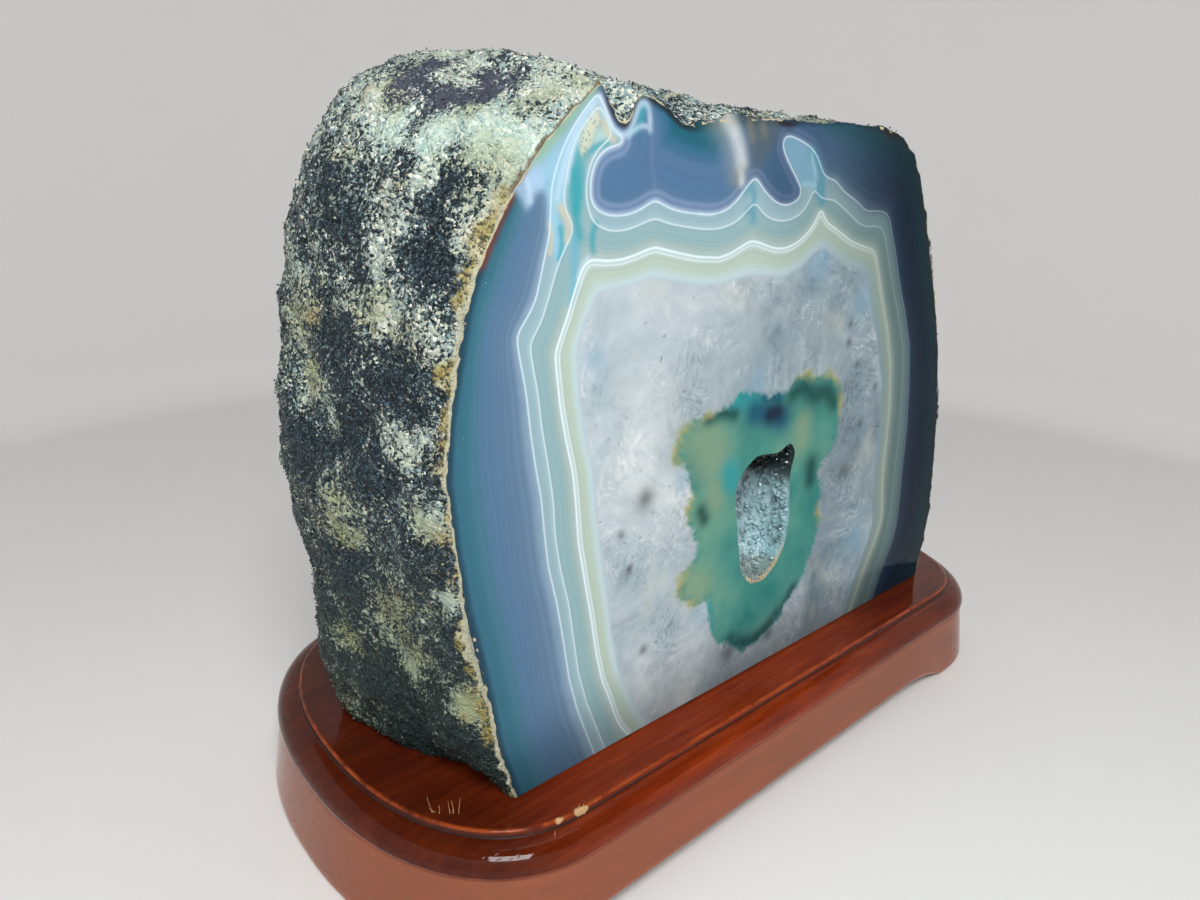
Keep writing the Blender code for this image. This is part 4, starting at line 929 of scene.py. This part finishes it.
def lacquered_wood():
    """Red-brown wood under a clear gloss, rubbed pale on its edges, dark in its grooves, with a few chips."""
    w = Wiring("lacquered_wood")
    x, _, z = w.axes()
    fibres, figure, pores = (w.noise(w.stretch(w.place, scale), 1.0, *rest) for scale, *rest in WOOD_NOISE)
    colour = w.ramp(w.plus(w.times(fibres, 0.5), w.times(figure, 0.5)), WOOD_TONES)
    colour = w.mix(w.step(pores, *PORE_STEP), colour, PORE_COLOUR)
    # Painted shade on both ends of the stand, above the skirt
    ends = w.plus(w.step(x, *LEFT_PAINTED_SHADE), w.step(x, *RIGHT_PAINTED_SHADE))
    colour = w.mix(w.times(ends, w.step(z, *PAINTED_SHADE_HEIGHT)), colour, PAINTED_SHADE_COLOUR)
    # Painted reflection of the pale floor on the skirt
    colour = w.lay(colour, SKIRT_PAINTED_REFLECTION, w.step(z, *SKIRT_REFLECTION_STEP), SKIRT_REFLECTION_STRENGTH)
    wear = w.number("wear")
    rub = w.noise(w.place, *RUB_NOISE)
    rubbed = w.times(w.step(wear, *WEAR_STEP), w.step(rub, *RUB_STEP))
    colour = w.lay(colour, RUBBED_COLOUR, rubbed, RUBBED_STRENGTH)
    # Darker and duller in the grooves of the moulding
    groove_dark = w.times(w.step(wear, *GROOVE_DARK_STEP), w.step(rub, *GROOVE_DARK_RUB))
    colour = w.mix(groove_dark, colour, GROOVE_DARK_COLOUR)
    raw = w.step(w.plus(w.number("chip"), w.sway(rub, CHIP_RAG)), *CHIP_STEP)
    colour = w.mix(raw, colour, CHIP_COLOUR)
    colour = w.mix(w.patches(*DUST_PATCHES), colour, DUST_COLOUR)
    scuffs = w.noise(w.stretch(w.place, *SCUFF_STRETCH), 1.0)
    dull = w.plus(w.step(scuffs, *SCUFF_STEP), w.times(raw, RAW_DULLNESS), clamp=True)
    dull = w.plus(dull, w.times(groove_dark, GROOVE_DULLNESS), clamp=True)
    w.bump(w.minus(w.times(fibres, FIBRE_HEIGHT), w.step(pores, *PORE_DEPTH_STEP)), WOOD_BUMP, WOOD_BUMP_STRENGTH)
    return w.finish(colour, dull, WOOD_IOR, WOOD_GLOSS)


def pocket_quartz(name, loose):
    """Milky quartz, turquoise to the east, dark at the top of the hole and stained brown at its foot."""
    w = Wiring(name)
    x, y, z = w.axes()
    cloud = w.noise(w.place, *MILK_NOISE)
    milk = w.ramp(cloud, MILK_TONES)
    milk = w.lay(milk, MILK_EAST, w.step(x, *MILK_EAST_STEP), MILK_EAST_STRENGTH)
    for waver, start, end, strength, tint in MILK_LEVELS:
        level = w.math("MULTIPLY_ADD", cloud, waver, z)
        milk = w.lay(milk, tint, w.step(level, start, end), strength)
    milk = w.layers(milk, MILK_LAYERS)
    depth = w.minus(y, FACE_Y * MM)
    milk = w.lay(milk, LIP_COLOUR, w.times(w.step(depth, *LIP_DEPTH), w.step(z, *LIP_HEIGHT)), LIP_STRENGTH)
    if not loose:
        w.bump(w.cells(w.place, POCKET_CELLS, "Distance"), POCKET_BUMP, POCKET_BUMP_STRENGTH)
    return w.finish(milk, POINT_ROUGHNESS if loose else POCKET_ROUGHNESS, QUARTZ_IOR)


def raw_wood():
    """Pale fibres of split wood."""
    w = Wiring("raw_wood")
    fibres = w.noise(w.stretch(w.place, RAW_STRETCH), 1.0)
    return w.finish(w.ramp(fibres, RAW_TONES), RAW_ROUGHNESS, WOOD_IOR)


# Stand
def arch(x):
    """How high the skirt's lower edge stands off the floor at a place along the stand."""
    for foot, crown in ARCH_FEET:
        t = (x - foot) / (crown - foot)
        if t < 0:
            return 0.0
        if t < 1:
            return ARCH_HEIGHT * math.sin(math.pi / 2 * min(1.0, t * ARCH_RISE)) ** ARCH_POWER
    return ARCH_HEIGHT


def stand_outline(outset):
    """The stand from above: straight long sides and rounded ends."""
    power = 2 / STAND_ROUNDNESS
    middle = STAND_HALF_LENGTH - STAND_END_LENGTH
    long, deep = STAND_END_LENGTH + outset, STAND_HALF_DEPTH + outset
    quarter = [(x, deep) for x in np.linspace(0.0, middle, STAND_SIDE_STEPS)[:-1]]
    for k in range(STAND_END_STEPS):
        a = math.pi / 2 * k / (STAND_END_STEPS - 1)
        quarter.append((middle + long * math.sin(a) ** power, deep * math.cos(a) ** power))
    right = quarter + [(x, -y) for x, y in reversed(quarter[:-1])]
    left = [(-x, -y) for x, y in right]
    return right + left[1:-1]


def stand_profile():
    """The moulded edge from the floor to the top, as (outset, z, wear)."""
    skirt, roll = [], []
    for t in np.arange(1, SKIRT_STEPS) / SKIRT_STEPS:
        skirt.append((FLOOR_OUTSET + (SKIRT_TOP_OUTSET - FLOOR_OUTSET) * t, SKIRT_TOP_Z * t + FOOT_EDGE_Z * (1 - t), 0.0))
    for k in range(ROLL_STEPS + 1):
        a = math.pi / 2 * k / ROLL_STEPS
        outset = STEP_OUTSET + (ROLL_OUTSET - STEP_OUTSET) * math.cos(a)
        roll.append((outset, ROLL_LOW_Z + (STEP_LOW_Z - ROLL_LOW_Z) * math.sin(a), 0.0 if k else ROLL_WEAR))
    return [*FOOT_EDGE, *skirt, *GROOVE, *roll, *TOP_EDGE]


def close_across(shape, loop):
    """Closes a loop by strips between vertices of the same X on its two long sides."""
    columns = {}
    for v in loop:
        columns.setdefault(round(v.co.x, 6), []).append(v)
    order = [sorted(columns[x], key=lambda v: v.co.y) for x in sorted(columns)]
    for near, far in zip(order, order[1:]):
        ring = [near[0], near[-1], far[-1], far[0]]
        shape.faces.new(list(dict.fromkeys(ring)))


def build_stand(wood):
    verts, wear = [], []
    profile = stand_profile()
    for outset, z, worn in profile:
        for x, y in stand_outline(outset):
            verts.append((x, y, z + arch(x) * max(0.0, 1 - z / SKIRT_TOP_Z)))
            wear.append(worn)
    count = len(verts) // len(profile)
    made = mesh_object("wooden_stand", verts, ring_faces(len(profile), count), True, wood)
    shape = bmesh.new()
    shape.from_mesh(made.data)
    shape.verts.ensure_lookup_table()
    for start in (0, len(verts) - count):
        close_across(shape, shape.verts[start:start + count])
    bmesh.ops.recalc_face_normals(shape, faces=shape.faces)
    shape.to_mesh(made.data)
    shape.free()
    number_on_points(made, "wear", wear)
    number_on_points(made, "chip", nearness(np.array(verts), CHIPS))
    stands_for(made, "stand")


def build_splinters(wood):
    """A few fibres of wood that stand up where the edge of the stand has split."""
    rng = np.random.default_rng(SPLINTER_SEED)
    corners = [(math.cos(a), math.sin(a), 0.0) for a in np.arange(4) * math.pi / 2]
    verts, faces = [], []
    for x, y, z, length, lean_x, lean_y in SPLINTERS:
        bend = (*rng.uniform(-SPLINTER_BEND, SPLINTER_BEND, 2), 0.0)
        first = len(verts)
        for t in np.linspace(0.0, 1.0, SPLINTER_RINGS):
            centre = np.array([x, y, z]) + t * np.array([lean_x, lean_y, length]) + t * t * np.array(bend)
            verts += [centre + SPLINTER_RADIUS * (1 - SPLINTER_TAPER * t) * np.array(c) for c in corners]
        last = len(verts) - 4
        faces += ring_faces(SPLINTER_RINGS, 4, first)
        faces += [[first + s for s in range(3, -1, -1)], [last + s for s in range(4)]]
    made = mesh_object("wood_splinters", verts, faces, False, wood)
    stands_for(made, "stand")


# Agate
def rim_points():
    """The rim of the polished face, gently rounded between the points of its outline."""
    return smooth_ring(along(FACE_OUTLINE, RIM_COUNT), RIM_ROUNDING)


def girth_points(rim):
    """For each rim point, the point of the girth outline in the same direction from the stone's centre."""
    centre = np.array(STONE_CENTRE)
    corners = np.array(GIRTH_OUTLINE) - centre
    angle = np.arctan2(corners[:, 1], corners[:, 0])
    order = np.argsort(angle)
    radius = np.linalg.norm(corners, axis=1)
    arms = rim - centre
    turns = np.unwrap(np.arctan2(arms[:, 1], arms[:, 0]))
    steady = np.linspace(turns[0], turns[0] - 2 * math.pi, len(rim), endpoint=False)
    finer = (RIM_COUNT / CAD_RIM_SAMPLES) ** 2
    turns = steady + smooth_ring(turns - steady, round(TURN_ROUNDING * finer))
    wrapped = (turns + math.pi) % (2 * math.pi) - math.pi
    reach = np.interp(wrapped, angle[order], radius[order], period=2 * math.pi)
    reach = smooth_ring(reach, round(REACH_ROUNDING * finer))
    return centre + reach[:, None] * np.column_stack([np.cos(turns), np.sin(turns)])


def side_blend(depth):
    """How far the side has come from the rim to the girth at a depth behind the face."""
    quick = RIM_BLEND_FAST * (1 - np.exp(-depth / RIM_BLEND_REACH))
    slow = np.sin(math.pi / 2 * np.minimum(1.0, depth / (GIRTH_Y - FACE_Y))) ** SIDE_ROUNDNESS
    return quick + (1 - RIM_BLEND_FAST) * slow


def stone_grid():
    """Rows of the stone's smooth surface from the rim of the face to the middle of the back."""
    rim = rim_points()
    girth = girth_points(rim)
    centre = np.array(STONE_CENTRE)
    rows = []
    for t in np.linspace(0.0, 1.0, SIDE_ROWS) ** ROW_SPREAD:
        depth = t * (GIRTH_Y - FACE_Y)
        rows.append((rim + (girth - rim) * side_blend(depth), FACE_Y + depth))
    for a in np.linspace(0.0, math.pi / 2, BACK_ROWS + 2)[1:-1]:
        size, reach = math.cos(a) ** (2 / BACK_ROUNDNESS), math.sin(a) ** (2 / BACK_ROUNDNESS)
        rows.append((centre + (girth - centre) * size, GIRTH_Y + (BACK_Y - GIRTH_Y) * reach))
    return np.array([upright(flat, y) for flat, y in rows])


def upright(flat, y):
    """Points of (x, z) stood up at a place in Y."""
    return np.column_stack([flat[:, 0], np.full(len(flat), y), flat[:, 1]])


def grid_normals(grid):
    around = np.roll(grid, -1, axis=1) - np.roll(grid, 1, axis=1)
    normal = np.cross(around, np.gradient(grid, axis=0))
    normal /= np.linalg.norm(normal, axis=2, keepdims=True) + TINY
    outward = normal[SIDE_ROWS // 3, 0, 0] * (grid[SIDE_ROWS // 3, 0, 0] - STONE_CENTRE[0])
    return normal if outward > 0 else -normal


def relief(place, fine):
    """Height of the rind's lumps, knobs, ridges and pits at a point, as in the CAD part."""
    lump = noise.noise(place / LUMP_SIZE)
    knob = noise.noise(place / KNOB_SIZE + KNOB_SHIFT)
    ridge = RIDGE_LEVEL - abs(noise.noise(place / RIDGE_SIZE + RIDGE_SHIFT))
    pit = max(0.0, noise.noise(place / PIT_SIZE + PIT_SHIFT) - PIT_LEVEL)
    small = KNOB_HEIGHT * knob + RIDGE_HEIGHT * ridge - PIT_DEPTH * pit
    return LUMP_HEIGHT * lump + fine * small


def grit(place):
    """Height of the fine grains of the rind at a point."""
    return sum(height * noise.noise(place / size + shift) for size, height, shift in GRIT)


def back_fineness(y):
    """The small relief dies away towards the middle of the back."""
    if y <= GIRTH_Y:
        return 1.0
    a = math.asin(min(1.0, ((y - GIRTH_Y) / (BACK_Y - GIRTH_Y)) ** (BACK_ROUNDNESS / 2)))
    return max(0.0, math.cos(a)) ** BACK_CALM


def roughen(grid):
    """The rind's relief laid on the smooth rows. The rim only waves within the plane of the face."""
    normal = grid_normals(grid)
    normal[0] = normal[1]
    height = np.zeros(grid.shape[:2])
    for row, ring in enumerate(grid):
        y = ring[0, 1]
        grow = np.interp(y - FACE_Y, *RIM_CALM)
        fine = back_fineness(y)
        gritty = min(1.0, GRIT_AT_RIM + row / GRIT_ROWS) * max(fine, GRIT_AT_BACK)
        for i, point in enumerate(ring):
            place = Vector(point)
            height[row, i] = relief(place, fine) * grow + grit(place) * gritty
    rough = grid + normal * height[:, :, None]
    rough[0, :, 1] = FACE_Y
    return rough


def seat(verts):
    """Everything under the seat is laid flat on it."""
    verts[:, 2] = np.maximum(verts[:, 2], SEAT_Z)
    return verts


def nearness(points, places):
    """1 at the middle of the nearest of some round places and 0 far off. Each ends with its radius."""
    best = np.zeros(len(points))
    for *middle, radius in places:
        off = np.linalg.norm(points - middle, axis=1) / radius
        best = np.maximum(best, np.exp(-(off ** 2)))
    return best


def rind_numbers(points):
    """The numbers that the material of the rind reads, from places in millimetres."""
    x, y, z = points.T
    crust = np.where(x < 0, np.interp(z, *CRUST_BY_HEIGHT), EAST_CRUST) * np.interp(x, *CRUST_BY_LENGTH)
    numbers = {"depth": np.maximum(y - FACE_Y, 0.0), "crust": crust, "brink": np.interp(x, *BRINK_BY_LENGTH)}
    for name, patches in RIND_PATCHES:
        numbers[name] = nearness(points, patches)
    return numbers


def build_rind(stone):
    """The rind over the sides, the top and the back. Also gives the row of points along the face's rim."""
    grid = roughen(stone_grid())
    rows, count = grid.shape[:2]
    pole = grid[-1].mean(axis=0)
    pole[1] = max(pole[1], grid[-1, :, 1].max() + POLE_LIFT)
    verts = seat(np.vstack([grid.reshape(-1, 3), pole]))
    rind = mesh_object("agate_rind", verts, ring_faces(rows, count) + tip_faces(rows, count), False, stone)
    for name, values in rind_numbers(verts).items():
        number_on_points(rind, name, values)
    stands_for(rind, "agate")
    return rind, grid[0]


def random_turns(rng, count):
    """Random rotation matrices."""
    q = rng.normal(size=(count, 4))
    q /= np.linalg.norm(q, axis=1)[:, None]
    a, b, c, d = q.T
    rows = [[1 - 2 * (c * c + d * d), 2 * (b * c - a * d), 2 * (b * d + a * c)],
            [2 * (b * c + a * d), 1 - 2 * (b * b + d * d), 2 * (c * d - a * b)],
            [2 * (b * d - a * c), 2 * (c * d + a * b), 1 - 2 * (b * b + c * c)]]
    return np.array(rows).transpose(2, 0, 1)


def scatter_grains(name, rind, seed, stone):
    """Loose-looking quartz grains half sunk in the rind."""
    rng = np.random.default_rng(seed)
    mesh = rind.data
    count = len(mesh.polygons)
    centre, normal, area = np.zeros(count * 3), np.zeros(count * 3), np.zeros(count)
    for key, values in (("center", centre), ("normal", normal), ("area", area)):
        mesh.polygons.foreach_get(key, values)
    centre, normal = centre.reshape(-1, 3) / MM, normal.reshape(-1, 3)
    area[centre[:, 2] < SEAT_Z + GRAIN_SEAT_GAP] = 0.0
    area[centre[:, 1] < FACE_Y + GRAIN_RIM_GAP] *= GRAIN_RIM_SHARE
    chosen = rng.choice(count, GRAIN_COUNT, p=area / area.sum())
    size = rng.uniform(*GRAIN_SIZE, GRAIN_COUNT)
    place = centre[chosen] + rng.normal(0.0, GRAIN_STRAY, (GRAIN_COUNT, 3))
    place -= normal[chosen] * size[:, None] * GRAIN_SINK
    place[:, 1] = np.maximum(place[:, 1], FACE_Y + size * GRAIN_FACE_GAP)
    place[:, 2] = np.maximum(place[:, 2], SEAT_Z + size)
    shape = OCTAHEDRON[None] * rng.uniform(*GRAIN_UNEVENNESS, (GRAIN_COUNT, 6, 1)) * size[:, None, None]
    verts = np.einsum("nij,nkj->nki", random_turns(rng, GRAIN_COUNT), shape) + place[:, None]
    faces = OCTAHEDRON_FACES[None] + 6 * np.arange(GRAIN_COUNT)[:, None, None]
    grains = mesh_object(name, verts.reshape(-1, 3), faces.reshape(-1, 3).tolist(), False, stone)
    for key, values in rind_numbers(place).items():
        number_on_points(grains, key, np.repeat(values, 6))
    for key in GRAIN_NUMBERS:
        number_on_points(grains, key, np.repeat(rng.uniform(0.0, 1.0, GRAIN_COUNT), 6))
    stands_for(grains, "agate")


# Polished face
def inside(points, loop):
    """Which points lie inside a closed outline."""
    x, z = points[:, 0], points[:, 1]
    hit = np.zeros(len(points), bool)
    for (x0, z0), (x1, z1) in zip(loop, np.roll(loop, -1, axis=0)):
        at = x0 + (z - z0) * (x1 - x0) / (z1 - z0 + TINY)
        hit ^= ((z0 > z) != (z1 > z)) & (x < at)
    return hit


def distance(points, line, closed=False):
    """Distance from each point to a line of points."""
    starts = np.asarray(line, float)
    ends = np.roll(starts, -1, axis=0)
    best = np.full(len(points), np.inf)
    for p, q in list(zip(starts, ends))[:None if closed else -1]:
        step = q - p
        t = np.clip(((points - p) @ step) / (step @ step + TINY), 0.0, 1.0)
        best = np.minimum(best, np.linalg.norm(points - p - t[:, None] * step, axis=1))
    return best


def signed_distance(points, line, loop):
    """Distance to a line, positive inside the loop and negative outside it."""
    off = distance(points, line)
    return np.where(inside(points, loop), off, -off)


def pocket_loop():
    return smooth_ring(along(POCKET_OUTLINE, POCKET_SAMPLES), POCKET_ROUNDING)


def face_points(rim, pocket):
    """Points of the face: a fine lattice, finer in the folds, kept clear of the rim and the pocket."""
    sets = []
    left, right, low, high = FACE_BOX
    fold_left, fold_right, fold_low, fold_high = FOLD_BOX
    for step, wanted in ((FACE_STEP, False), (FOLD_STEP, True)):
        heights = np.arange(low, high, step * LATTICE_RISE)
        x, z = np.meshgrid(np.arange(left, right, step), heights)
        x = x + (np.arange(len(heights)) % 2)[:, None] * step / 2
        p = np.column_stack([x.ravel(), z.ravel()])
        x, z = p.T
        in_fold = (x > fold_left) & (x < fold_right) & (z > fold_low) & (z < fold_high)
        p = p[in_fold == wanted]
        p = p[inside(p, rim) & ~inside(p, pocket)]
        clear = step * LATTICE_CLEARANCE
        sets.append(p[(distance(p, rim, True) > clear) & (distance(p, pocket, True) > clear)])
    return np.vstack(sets)


def smooth_line(points, closed=False):
    """A line through given points with its corners gently rounded."""
    a = np.array(points + points[:1] if closed else points, float)
    run = run_along(a)
    count = max(LINE_LEAST, int(run[-1] / LINE_STEP))
    line = spaced(a, run, np.linspace(0.0, run[-1], count))
    for _ in range(LINE_ROUNDING):
        line[1:-1] = (line[:-2] + 2 * line[1:-1] + line[2:]) / 4
    return line


def stroke_mask(points, strokes):
    """1 along the middle of some strokes, falling off past their half width."""
    best = np.zeros(len(points))
    for line, half in strokes:
        off = np.minimum(distance(points, smooth_line(line)) / half, MASK_LIMIT)
        best = np.maximum(best, np.exp(-STROKE_FALL * off ** STROKE_POWER))
    return best


def area_mask(points, outline, soft):
    loop = smooth_line(outline, True)
    off = signed_distance(points, loop, loop) / soft
    return sigmoid(AREA_SLOPE * np.clip(off, -MASK_LIMIT, MASK_LIMIT))


def sigmoid(value):
    return 1 / (1 + np.exp(-value))


def band_numbers(points):
    """The place between the lines from the rim (0) to the quartz (4 and on), and the distances to the lines."""
    lines = [smooth_line(line) for line in (RIM_LINE, FIRST_LINE, SECOND_LINE, THIRD_LINE, QUARTZ_LINE)]
    loops = [np.vstack([line, (line[-1][0], LINE_DEPTH), (line[0][0], LINE_DEPTH)]) for line in lines]
    off = [signed_distance(points, line, loop) for line, loop in zip(lines, loops)]
    band = np.zeros(len(points))
    for k, (outer, inner) in enumerate(zip(off, off[1:])):
        part = (outer > 0) & (inner <= 0)
        band[part] = k + (outer / (outer - inner + TINY))[part]
    quartz = off[-1] > 0
    band[quartz] = QUARTZ_BAND + off[-1][quartz] / QUARTZ_REACH
    return band, off


def face_numbers(face, points):
    """The numbers that the material of the polished face reads."""
    x, z = points.T
    band, (rim, first, second, third, _) = band_numbers(points)
    bay = (first <= 0) * sigmoid((x - BAY_LEFT) / BAY_LEFT_SOFT) * sigmoid((BAY_RIGHT - x) / BAY_RIGHT_SOFT)
    arm = points - np.array(POCKET_MIDDLE)
    reach = np.linalg.norm(arm, axis=1)
    green = smooth_line(GREEN_OUTLINE, True)
    numbers = {
        "band": band, "away": np.clip(-first, 0, AWAY_REACH), "rim": np.abs(rim),
        "first": first, "second": second, "third": third, "bay": bay * (z > BAY_LOW),
        "green": signed_distance(points, green, green),
        "ochre": nearness(points, OCHRE_TIPS), "spots": nearness(points, QUARTZ_SPOTS),
        "blue_tint": nearness(points, BLUE_TINTS),
        "fan_x": arm[:, 0] / reach * FAN_TURN, "fan_z": arm[:, 1] / reach * FAN_TURN, "fan_r": reach / FAN_REACH,
    }
    for name, _, _, strokes in STROKES + GREEN_STROKES:
        numbers[name] = stroke_mask(points, strokes)
    for name, _, _, soft, outline in AREAS:
        numbers[name] = area_mask(points, outline, soft)
    for name, values in numbers.items():
        number_on_points(face, name, values)


def closed_edges(first, count):
    return [(first + i, first + (i + 1) % count) for i in range(count)]


def build_face(polished, rim_row):
    """The flat face within the rim, with the mouth of the pocket left open."""
    rim = rim_row[:, (0, 2)]
    pocket = pocket_loop()
    points = np.vstack([rim, pocket, face_points(rim, pocket)])
    edges = closed_edges(0, len(rim)) + closed_edges(len(rim), len(pocket))
    flat, _, tris, *_ = delaunay_2d_cdt([Vector(p) for p in points], edges, [], 0, MESH_TOLERANCE)
    flat, tris = np.array([tuple(v) for v in flat]), np.array(tris)
    middle = flat[tris].mean(axis=1)
    tris = tris[inside(middle, rim) & ~inside(middle, pocket)][:, ::-1]
    face = mesh_object("polished_face", seat(upright(flat, FACE_Y)), tris.tolist(), False, polished)
    face_numbers(face, flat)
    stands_for(face, "agate")


# Pocket
def pocket_wall(stone):
    """The wall of the pocket, as rings that shrink towards its bottom."""
    loop = pocket_loop()
    centre = loop.mean(axis=0)
    rows = [upright(centre + (loop - centre) * size, FACE_Y + depth) for depth, size in POCKET_SHAPE]
    verts = np.vstack([*rows, (centre[0], FACE_Y + POCKET_BOTTOM, centre[1])])
    faces = ring_faces(len(rows), len(loop)) + tip_faces(len(rows), len(loop))
    wall = mesh_object("pocket_wall", verts, faces, True, stone)
    stands_for(wall, "crystal_crust")
    return wall


def quartz_point(radius, length, rng):
    """A six-sided prism with an uneven six-sided tip."""
    ring = [(radius * math.cos(a), radius * math.sin(a)) for a in np.arange(6) * math.pi / 3]
    tip = length * POINT_SHOULDER + rng.uniform(-POINT_UNEVEN, POINT_UNEVEN, 6) * length
    verts = [(x, y, -POINT_ROOT * length) for x, y in ring] + [(x, y, t) for (x, y), t in zip(ring, tip)]
    verts.append((*(rng.uniform(-POINT_OFF, POINT_OFF) * radius for _ in range(2)), length))
    faces = [list(range(5, -1, -1))]
    faces += [[i, (i + 1) % 6, 6 + (i + 1) % 6, 6 + i] for i in range(6)]
    faces += [[6 + i, 6 + (i + 1) % 6, 12] for i in range(6)]
    return np.array(verts), faces


def grow_crystals(wall, stone):
    """Small quartz points standing on the wall of the pocket."""
    rng = np.random.default_rng(CRYSTAL_SEED)
    polygons = [p for p in wall.data.polygons if p.center.y > (FACE_Y + CRYSTAL_FROM) * MM]
    weight = np.array([p.area for p in polygons])
    middle = Vector((POCKET_MIDDLE[0], FACE_Y + POCKET_MIDDLE_DEPTH, POCKET_MIDDLE[1])) * MM
    verts, faces = [], []
    for k in rng.choice(len(polygons), CRYSTAL_COUNT, p=weight / weight.sum()):
        side = polygons[k]
        corners = np.array([wall.data.vertices[v].co for v in side.vertices]) / MM
        base = rng.dirichlet(np.ones(len(corners))) @ corners
        out = Vector(side.normal)
        if out.dot(middle - side.center) < 0:
            out = -out
        out = (out + Vector(rng.normal(0.0, CRYSTAL_LEAN, 3))).normalized()
        radius = rng.uniform(*CRYSTAL_RADIUS)
        shape, parts = quartz_point(radius, radius * rng.uniform(*CRYSTAL_SLIMNESS), rng)
        placed = shape @ np.array(out.to_track_quat("Z", "Y").to_matrix()).T + base
        if placed[:, 1].min() < FACE_Y + CRYSTAL_GAP:
            continue
        faces += [[len(verts) + i for i in part] for part in parts]
        verts += placed.tolist()
    made = mesh_object("pocket_crystals", verts, faces, False, stone)
    stands_for(made, "crystal_crust")


def main():
    aim_camera()
    build_stage()
    light_scene()
    build_stand(lacquered_wood())
    build_splinters(raw_wood())
    rind, rim = build_rind(rough_rind("rough_rind", False))
    loose = rough_rind("loose_grains", True)
    for k, seed in enumerate(GRAIN_SEEDS):
        scatter_grains(f"rind_grains_{k + 1}", rind, seed, loose)
    build_face(polished_agate(), rim)
    wall = pocket_wall(pocket_quartz("pocket_quartz", False))
    grow_crystals(wall, pocket_quartz("pocket_points", True))


main()
